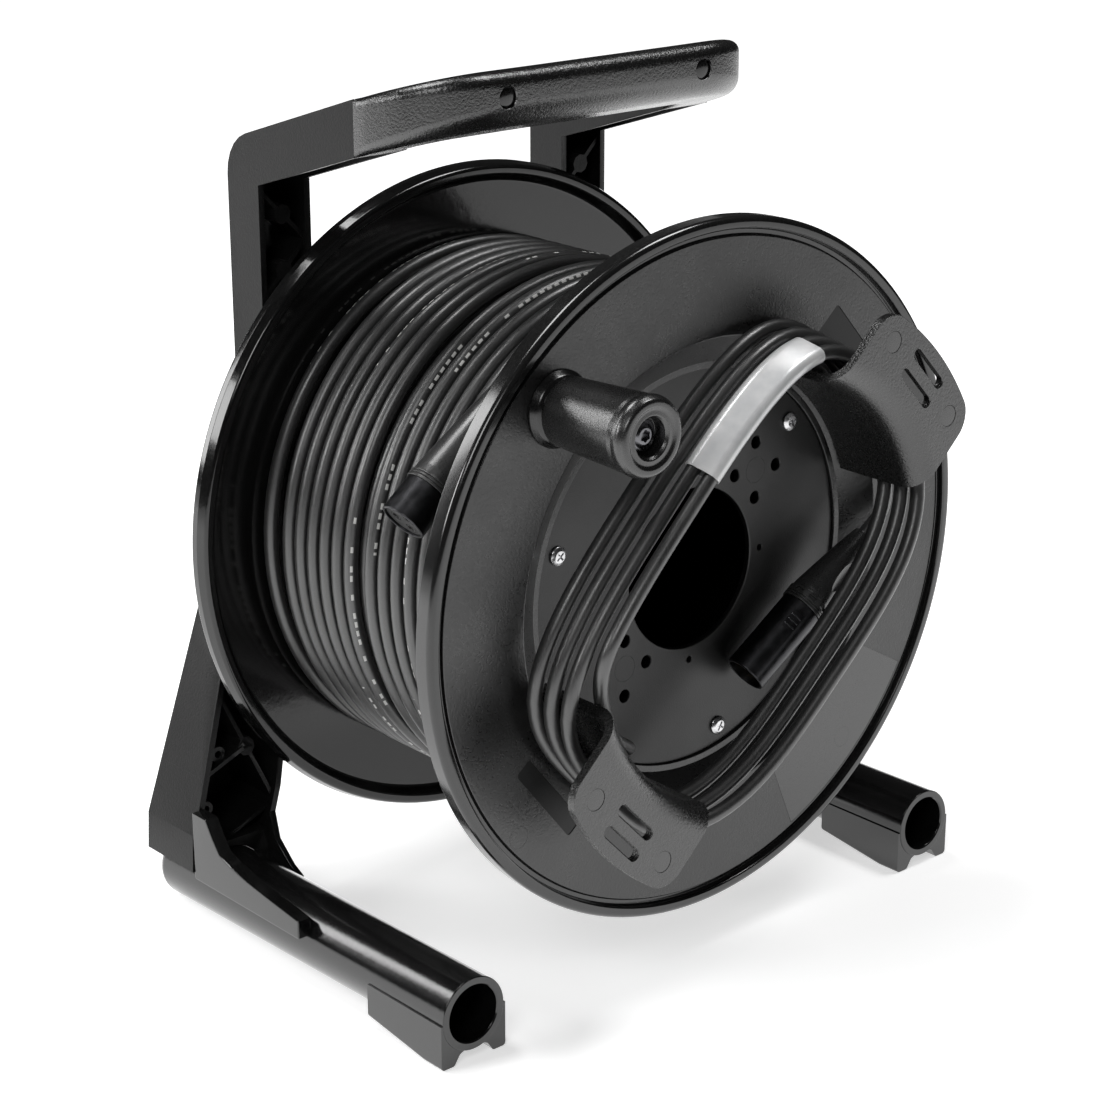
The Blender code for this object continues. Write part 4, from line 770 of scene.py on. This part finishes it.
def cable(name, route, diameter, around=16):
    """A round cable along a route, with its length and its circumference stored on the mesh for the print."""
    curve = bpy.data.curves.new(name, "CURVE")
    curve.dimensions = "3D"
    curve.bevel_depth = diameter / 2.0
    curve.bevel_resolution = around // 2 - 2
    curve.use_fill_caps = True
    spline = curve.splines.new("POLY")
    spline.points.add(len(route) - 1)
    for spot, point in zip(spline.points, route):
        spot.co = (*point, 1.0)
    holder = linked(name, curve)
    bpy.context.view_layer.update()
    mesh = bpy.data.meshes.new_from_object(holder.evaluated_get(bpy.context.evaluated_depsgraph_get()))
    bm = bmesh.new()
    bm.from_mesh(mesh)
    bpy.data.objects.remove(holder, do_unlink=True)
    bpy.data.curves.remove(curve)
    bpy.data.meshes.remove(mesh)
    run_layer = bm.verts.layers.float.new("run")
    round_layer = bm.verts.layers.float.new("around")
    runs = [0.0]
    for near, far in zip(route, route[1:]):
        runs.append(runs[-1] + (far - near).length)
    bm.verts.ensure_lookup_table()
    for i, vert in enumerate(bm.verts):
        ring = min(i // around, len(route) - 1)
        ahead = (route[min(ring + 1, len(route) - 1)] - route[max(ring - 1, 0)]).normalized()
        out = Vector((route[ring].x, 0.0, route[ring].z - AXIS_Z)).normalized()
        side = ahead.cross(out).normalized()
        spoke = vert.co - route[ring]
        vert[run_layer] = runs[ring] * MM
        vert[round_layer] = math.atan2(spoke.dot(side), spoke.dot(out))
    bmesh.ops.recalc_face_normals(bm, faces=bm.faces)
    return bm, runs[-1]


first_y = Y_DISC - CABLE_D / 2.0 - 0.6
climb = TURNS - 0.22
last = TURNS + (PLUG_ANGLE + 60.0) / 360.0
turn_angle = math.radians(PLUG_ANGLE)
socket_way = Vector((math.sin(turn_angle), 0.0, -math.cos(turn_angle)))
socket_face = Vector((WIND_END_R * math.cos(turn_angle), PLUG_Y, AXIS_Z + WIND_END_R * math.sin(turn_angle)))
socket_face = socket_face - socket_way * (FEMALE_LEN + 2.5)
socket_tip = socket_face + socket_way * (FEMALE_LEN + 0.02)


def wound_point(turn):
    """A point of the outer layer, by the number of turns from the rear flange."""
    y = first_y - PITCH * max(0.0, min(turn, climb) - 0.58)
    for at, jump in ((0.94, 5.4), (7.0, 5.8)):
        y -= jump * smooth((turn - at) / 0.36 + 0.5)
    y += (PLUG_Y - y) * smooth((turn - climb - 0.12) / 0.44)
    radius = WIND_R - 0.5 + (CABLE_D + 1.9) * smooth((turn - climb) / 0.18)
    radius += (WIND_END_R - WIND_R - CABLE_D - 1.4) * smooth((turn - last + 0.25) / 0.2)
    x, z = polar(radius, -60.0 + 360.0 * turn)
    return Vector((x, y, z))


route = [wound_point(i / 96.0) for i in range(round(last * 96))]
while (route[-1] - socket_tip).dot(socket_way) < CABLE_D * 1.6:
    route.pop()
route += [socket_tip + socket_way * CABLE_D * 1.02, socket_tip]


def jacket(name, printed):
    """Matt PVC with a soft sheen, fine scuffs and, where asked, short pale marks in groups along one side."""
    material = plastic(name, 0.026, 0.38, 1500.0, 0.006, streak=0.01, gloss=1.0)
    if not printed:
        return material
    tree = material.node_tree
    shader = tree.nodes["Principled BSDF"]

    def reckon(operation, *values):
        """A sum on one or more values."""
        return add(tree, "Math", dict(enumerate(values)), operation=operation).outputs["Value"]

    along, turned_by = (add(tree, "Attribute", attribute_name=layer).outputs["Fac"] for layer in ("run", "around"))
    sway = reckon("MULTIPLY", reckon("SINE", reckon("MULTIPLY", along, 0.83)), 1.5)
    band = reckon("LESS_THAN", reckon("ABSOLUTE", reckon("SUBTRACT", turned_by, sway)), PRINT_HALF_ANGLE)
    block = reckon("LESS_THAN", reckon("FRACT", reckon("MULTIPLY", along, 1.0 / PRINT_PERIOD)), PRINT_SHARE)
    place = reckon("MULTIPLY", along, 1.0 / STROKE_PERIOD)
    chance = add(tree, "TexWhiteNoise", noise_dimensions="1D")
    fill(chance, {"W": reckon("FLOOR", place)})
    present = reckon("GREATER_THAN", chance.outputs["Value"], 0.34)
    stroke = reckon("LESS_THAN", reckon("FRACT", place), STROKE_SHARE)
    mark = reckon("MULTIPLY", reckon("MULTIPLY", band, block), reckon("MULTIPLY", present, stroke))
    ground = shader.inputs["Base Color"].links[0].from_socket
    blend = add(tree, "MixRGB", {"Fac": mark, "Color1": ground, "Color2": PRINT_TONE})
    fill(shader, {"Base Color": blend.outputs["Color"]})
    return material


printed_jacket = jacket("printed_jacket", True)
plain_jacket = jacket("plain_jacket", False)
wound, wound_length = cable("wound_cable", route, CABLE_D)
show("wound_cable", wound, printed_jacket, "cable_winding", slot="cable_jacket", crease=60.0)

under = [Vector((x, Y_FACE + 9.6 + PITCH * turn, z)) for turn, (x, z) in
         ((i / 64.0, polar(CORE_R - 1.95, -30.0 + 360.0 * i / 64.0)) for i in range(round(15.8 * 64) + 1))]
lower_layer, under_length = cable("lower_layer", under, CABLE_D, around=10)
show("lower_layer", lower_layer, plain_jacket, slot="cable_jacket", crease=60.0)
filled = lathe(filleted([(BARREL_R + 0.05, Y_FACE + 12.0, 0.5), (106.0, Y_FACE + 4.2, 0.5),
                         (109.0, Y_FACE + 4.2, 0.5), (109.0, Y_DISC - 0.05, 0.5),
                         (BARREL_R + 0.05, Y_DISC - 0.05, 0.5)], 3), 192, z=AXIS_Z)
show("inner_layers", filled, plain_jacket, "winding_core", slot="cable_jacket")


# Socket connector
# The female end of the cable lies on the winding: a blackened metal shell, a moulded insert with three contact
# holes, a grooved collar and a tapered rubber boot that keeps the cable from kinking.

XLR_R = 10.0
shell_black = metal("blackened_shell", (0.050, 0.050, 0.053), 0.34, 900.0, 0.03)
boot_rubber = plastic("boot_rubber", 0.026, 0.30, 1800.0, 0.02, gloss=0.85)
dark_insert = plastic("dark_insert", 0.030, 0.34, 1200.0, 0.02, gloss=0.7)


def on_socket(bm):
    return aimed(bm, socket_face, socket_way, (0, 1, 0))


def block(low, high, half, inner, outer):
    return pushed([(low, -half), (low, half), (high, half), (high, -half)], "X", inner, outer)


inner = XLR_R - 1.2
body = 17.0
shell = lathe(filleted([(inner, 0.0, 0.25), (XLR_R, 0.0, 0.7), (XLR_R, body, 0.3), (0.0, body), (0.0, body - 2.0),
                        (inner, body - 2.0, 0.2)], 4), 96)
shell = carve(shell, block(2.4, 11.6, 2.8, inner - 3.0, XLR_R + 3.0))
show("socket_shell", on_socket(shell), shell_black, "female_xlr_shell", slot="connector_shell")

insert = turned([(inner - 0.02, 1.0, 0.4), (inner - 0.02, body - 2.02, 0.2)], 96, soft=3)
insert = carve(insert, block(2.0, 12.0, 3.2, inner - 3.2, XLR_R + 3.0))
for k in range(3):
    a = math.radians(90.0 + 120.0 * k)
    x, z = 4.6 * math.cos(a) - 0.8, 4.6 * math.sin(a)
    insert = carve(insert, turned([(2.6, -3.0), (1.4, 1.7), (1.4, 9.0)], 32, x, z))
    insert = carve(insert, lathe([(2.3, 0.0), (2.6, 0.0), (2.6, 1.5), (2.3, 1.5)], 32, x, z))
show("socket_insert", on_socket(insert), dark_insert, "female_xlr_insert")

latch = block(2.8, 11.2, 2.4, XLR_R - 1.6, XLR_R + 0.5)
show("socket_latch", on_socket(round_edges(latch, 0.4, segments=2)), shell_black, "female_xlr_latch", body="latch",
     slot="connector_shell")


def ringed(low, high, radius, grooves):
    """A collar outline with narrow grooves turned in it."""
    corners = [(0.0, low), (radius, low, 0.25)]
    for at in grooves:
        corners += [(radius, at, 0.1), (radius - 0.6, at + 0.15, 0.05), (radius - 0.6, at + 0.5, 0.05),
                    (radius, at + 0.65, 0.1)]
    return filleted(corners + [(radius, high, 0.3), (0.0, high)], 3)


collar = lathe(ringed(body + 0.02, body + 3.6, XLR_R + 0.4, (body + 1.0, body + 2.3)), 96)
show("socket_collar", on_socket(collar), dark_insert, "female_xlr_collar")


def boot_shape(low, high, start_r):
    span = high - low
    return filleted([(0.0, low), (start_r, low, 0.3), (start_r, low + span * 0.06, 4.0),
                     (start_r * 0.78, low + span * 0.5, 30.0), (start_r * 0.64, low + span * 0.75, 20.0),
                     (4.5, high, 0.6), (0.0, high)], 8)


boot = lathe(boot_shape(body + 3.62, FEMALE_LEN, XLR_R - 0.2), 96)
show("socket_boot", on_socket(boot), boot_rubber, "female_xlr_boot")


# Plug connector
# The male end is tucked behind the stowed cable: a slim metal shell with a small ridged field and three gold
# pins in its open mouth, a slotted collar and a boot with a leaf-shaped hollow on each side.

MALE_LEN = 85.0
RIDGE_SIDE = -41.0
MALE_FRONT = Vector((23.0, Y_FACE - 0.1, AXIS_Z - 52.7))
MALE_TIP = Vector((90.5, Y_FACE - 6.8, AXIS_Z - 0.5))
plug_way = (MALE_TIP - MALE_FRONT).normalized()
plug_face = MALE_TIP - plug_way * MALE_LEN


def spun(bm, degrees, axis="Y"):
    bmesh.ops.rotate(bm, verts=bm.verts, cent=(0, 0, 0), matrix=Matrix.Rotation(math.radians(degrees), 3, axis))
    return bm


def on_plug(bm, degrees=0.0):
    """Onto the axis of the plug, first turned round it by some degrees."""
    return aimed(spun(bm, degrees), plug_face, plug_way, (0, -1, 0))


outer = XLR_R - 0.3
inner = outer - 1.2
body, floor_in = 40.0, 17.0
shell = lathe(filleted([(inner, 0.0, 0.2), (outer, 0.0, 0.6), (outer, body, 0.3), (0.0, body), (0.0, body - 4.0),
                        (inner, body - 4.0, 0.2)], 4), 96)
shell = carve(shell, block(25.6, 35.6, 3.4, outer - 0.45, outer + 2.0))
show("plug_shell", on_plug(shell, RIDGE_SIDE), shell_black, "male_xlr_shell", slot="connector_shell")
for k in range(3):
    ridge = round_edges(block(27.4 + 2.6 * k, 28.3 + 2.6 * k, 2.6, outer - 1.0, outer - 0.02), 0.25, segments=2)
    show(f"plug_ridge_{k + 1}", on_plug(ridge, RIDGE_SIDE), dark_steel, slot="connector_shell")

insert = turned([(inner - 0.02, floor_in, 0.3), (inner - 0.02, body - 4.02, 0.2)], 96, soft=3)
gold = metal("gold_contact", (0.72, 0.53, 0.26), 0.2, 1500.0, 0.01)
for k in range(3):
    a = math.radians(90.0 + 120.0 * k)
    x, z = 4.4 * math.cos(a), 4.4 * math.sin(a)
    insert = carve(insert, turned([(1.5, floor_in - 3.0), (1.5, floor_in + 6.0)], 32, x, z))
    contact = turned([(1.2, 4.0, 0.8), (1.2, floor_in + 5.6, 0.1)], 32, x, z, soft=4)
    show(f"plug_pin_{k + 1}", on_plug(contact), gold, f"male_xlr_pin_{k + 1}", slot="bronze")
show("plug_insert", on_plug(insert), dark_insert, "male_xlr_insert")

collar = lathe(ringed(body + 0.02, body + 6.0, XLR_R + 0.4, (body + 0.7, body + 1.9)), 96)
for k in range(9):
    slot = block(body + 3.3, body + 4.9, 2.0, XLR_R - 0.9, XLR_R + 2.0)
    collar = carve(collar, spun(slot, 40.0 * k))
show("plug_collar", on_plug(collar, RIDGE_SIDE), dark_insert, "male_xlr_collar")

boot = lathe(boot_shape(body + 6.02, MALE_LEN, XLR_R - 0.2), 96)
for side in (1.0, -1.0):
    pad = bmesh.new()
    bmesh.ops.create_uvsphere(pad, u_segments=48, v_segments=24, radius=1.0)
    bmesh.ops.scale(pad, vec=(2.0, 10.5, 3.4), verts=pad.verts)
    spun(pad, 4.0 * side, "Z")
    bmesh.ops.translate(pad, vec=(side * (XLR_R * 0.8 + 1.1), body + 23.0, 0.0), verts=pad.verts)
    boot = carve(boot, pad)
show("plug_boot", on_plug(boot, RIDGE_SIDE + 34.0), boot_rubber, "male_xlr_boot")


# Stowed cable tail
# The last metres of the cable, coiled by hand between the two guards in front of the recess, from the plug round
# to the hole where it goes through to the winding.

TAIL_A = 107.0
TAIL_LEFT = 69.6
TAIL_RIGHT = 63.0
TAIL_POWER = 3.2
TAIL_Y = Y_FACE - 17.5
TAIL_STEP = (CABLE_D * 0.585, CABLE_D + 0.8)
TAIL_MID = 1.75
TAIL_START = -0.05
TAIL_END = TAIL_START + 82.0 / 24.0


def in_guards(u, v, y):
    x, z = placed([(u, v)], GUARD_ANGLE, 0.0, AXIS_Z)[0]
    return Vector((x, y, z))


def tail_point(turn, index=None):
    """A point of the stowed coil; each turn lies nearer the viewer than the one before."""
    c, s = math.cos(math.tau * turn), math.sin(math.tau * turn)
    left = s >= 0.0
    half = TAIL_LEFT if left else TAIL_RIGHT
    radius = ((abs(c) / TAIL_A) ** TAIL_POWER + (abs(s) / half) ** TAIL_POWER) ** (-1.0 / TAIL_POWER)
    u, v = radius * c, radius * s
    bulge = (4.0 if left else 8.0) * max(0.0, 1.0 - (u / 95.0) ** 4)
    count = (turn if index is None else index) - TAIL_MID
    return in_guards(u, v - TAIL_STEP[0] * count, TAIL_Y - bulge - TAIL_STEP[1] * count)


def bridge(start, start_way, end, end_way, reach, steps):
    """Points between two ends on a smooth curve that leaves and meets them along given ways."""
    a, b = start + start_way.normalized() * reach, end - end_way.normalized() * reach
    points = []
    for i in range(1, steps):
        t = i / steps
        near = start * (1 - t) ** 3 + a * 3 * t * (1 - t) ** 2
        points.append(near + b * 3 * t * t * (1 - t) + end * t ** 3)
    return points


tip = plug_face + plug_way * (MALE_LEN + 0.02)
straight = tip + plug_way * CABLE_D * 1.05
first = tail_point(TAIL_START)
tail = [tip, straight] + bridge(straight, plug_way, first, tail_point(TAIL_START + 0.01) - first, 19.0, 16)
coil = [tail_point(TAIL_START + i / 120.0) for i in range(round((TAIL_END - TAIL_START) * 120) + 1)]
tail += coil
way = tail_point(TAIL_END) - tail_point(TAIL_END - 0.01)
end = in_guards(-80.0, -16.0, Y_FLOOR - 0.02)
above = end + Vector((0.0, -CABLE_D * 1.05, 0.0))
turn_in = in_guards(-84.0, 12.0, Y_FLOOR - 24.0)
slant = in_guards(-84.5, 0.0, Y_FLOOR - 19.0) - in_guards(-80.0, 25.0, Y_FLOOR - 30.0)
tail += bridge(coil[-1], way, turn_in, slant, 22.0, 16) + [turn_in]
tail += bridge(turn_in, slant, above, Vector((0.0, 1.0, 0.0)), 13.0, 14) + [above, end]
stowed, tail_length = cable("stowed_tail", tail, CABLE_D, around=20)
show("stowed_tail", stowed, plain_jacket, "stowed_cable", slot="cable_jacket", crease=60.0)
print(f"wound {wound_length:.0f} mm, lower layer {under_length:.0f} mm, stowed tail {tail_length:.0f} mm")


# Label sleeve
# A flat tube of silver-white film pushed over the two nearest turns; a user writes the length of the cable on it.

LABEL_WALL = 0.6
LABEL_ROOM = 0.5
step = in_guards(0.0, -TAIL_STEP[0], -TAIL_STEP[1]) - in_guards(0.0, 0.0, 0.0)
wide = step.normalized()


def sleeve_section(place, radius):
    turn = TAIL_START + place / 24.0
    centre = tail_point(turn, turn + 2.5)
    way = tail_point(turn + 0.004, turn + 2.504) - tail_point(turn - 0.004, turn + 2.496)
    thin = way.cross(wide).normalized()
    outline = []
    for sign, first in ((1.0, -90.0), (-1.0, 90.0)):
        for k in range(13):
            a = math.radians(first + 15.0 * k)
            outline.append(centre + wide * (step.length / 2.0 * sign + radius * math.cos(a))
                           + thin * radius * math.sin(a))
    return outline


places = [3.2 + 3.1 * k / 24.0 for k in range(25)]
radius = CABLE_D / 2.0 + LABEL_ROOM + LABEL_WALL / 2.0
film = swept([sleeve_section(p, radius) for p in places])
ends = [face for face in film.faces if len(face.verts) > 4]
bmesh.ops.delete(film, geom=ends, context="FACES_ONLY")
bmesh.ops.solidify(film, geom=film.faces[:], thickness=LABEL_WALL)
outward(film)
round_edges(film, 0.15, segments=2, sharper=60.0)
label_film, tree, shader = surface("label_film", {"Coat Weight": 0.35, "Coat Roughness": 0.18, "Metallic": 0.25})
ripple = noise(tree, 90.0, 3.0)
fill(shader, {"Base Color": tinted(tree, ripple, (0.62, 0.63, 0.64), (0.80, 0.80, 0.80)),
              "Roughness": spread(tree, ripple, 0.24, 0.42), "Normal": raised(tree, ripple, 0.12)})
show("label_tube", film, label_film, "label_sleeve", slot="label_plastic")


# Studio
# A white sweep under soft boxes, with the camera where the photograph was taken from.

CAMERA_PLACE = (-0.7594, -0.8425, 0.5642)
CAMERA_RIGHT = Vector((0.7506, -0.6607, 0.0))
CAMERA_AHEAD = Vector((0.6235, 0.7083, -0.3310))
LENS = 86.36
REEL_MIDDLE = Vector((0.0, 0.0, 0.2))
WHITE = (1.0, 1.0, 1.0, 1.0)
AIR_GLOW = 0.03
PAPER_REACH = (0.15, 0.75)
PAPER_GLOW = (0.55, 1.0)

camera = linked("photo_camera", bpy.data.cameras.new("photo_camera"))
camera.data.lens = LENS
camera.data.sensor_width = 36.0
ahead = CAMERA_AHEAD.normalized()
right = (CAMERA_RIGHT - ahead * CAMERA_RIGHT.dot(ahead)).normalized()
above = right.cross(ahead)
camera.matrix_world = Matrix.Translation(CAMERA_PLACE) @ Matrix((right, above, -ahead)).transposed().to_4x4()
bpy.context.scene.camera = camera

# Square lamps behind diffusers, each turned to the middle of the reel
for name, place, size, power in (("back_box", (-0.95, 1.25, 0.78), (0.3, 1.1), 9.0),
                                 ("left_box", (-1.55, 0.45, 0.85), (0.5, 0.5), 9.0),
                                 ("front_box", (-1.3, -0.9, 1.3), (0.6, 0.6), 8.0),
                                 ("right_box", (0.75, -0.3, 1.8), (0.5, 0.5), 11.0),
                                 ("top_box", (-0.32, 0.45, 1.9), (0.8, 0.6), 16.0)):
    lamp = bpy.data.lights.new(name, "AREA")
    lamp.shape = "RECTANGLE"
    lamp.size, lamp.size_y = size
    lamp.energy = power
    stand = linked(name, lamp)
    stand.location = place
    stand.rotation_euler = (REEL_MIDDLE - Vector(place)).to_track_quat("-Z", "Y").to_euler()

bpy.context.scene.view_settings.view_transform = "Standard"
world = bpy.data.worlds.new("studio_air")
bpy.context.scene.world = world
world.use_nodes = True
tree = world.node_tree
seen = add(tree, "LightPath").outputs["Is Camera Ray"]
fill(tree.nodes["Background"], {"Color": WHITE, "Strength": spread(tree, seen, AIR_GLOW, 1.0)})

sweep = bmesh.new()
bmesh.ops.create_grid(sweep, x_segments=1, y_segments=1, size=3.0)
floor = linked("studio_floor", sweep)
floor.location = (0.0, 0.0, -0.0002)
paper, tree, shader = surface("studio_paper", {"Base Color": (0.9, 0.9, 0.9, 1.0), "Roughness": 0.8,
                                               "Emission Color": WHITE})
path = add(tree, "LightPath").outputs
place = add(tree, "TexCoord").outputs["Object"]
reach = add(tree, "VectorMath", {0: place}, operation="LENGTH").outputs["Value"]
glow = spread(tree, reach, *PAPER_GLOW, *PAPER_REACH)
seen = add(tree, "Math", {0: path["Is Camera Ray"], 1: glow}, operation="MULTIPLY").outputs["Value"]
mirrored = add(tree, "Math", {0: path["Is Glossy Ray"], 1: 1.0, 2: seen}, operation="MULTIPLY_ADD")
fill(shader, {"Emission Strength": mirrored.outputs["Value"]})
floor.data.materials.append(paper)
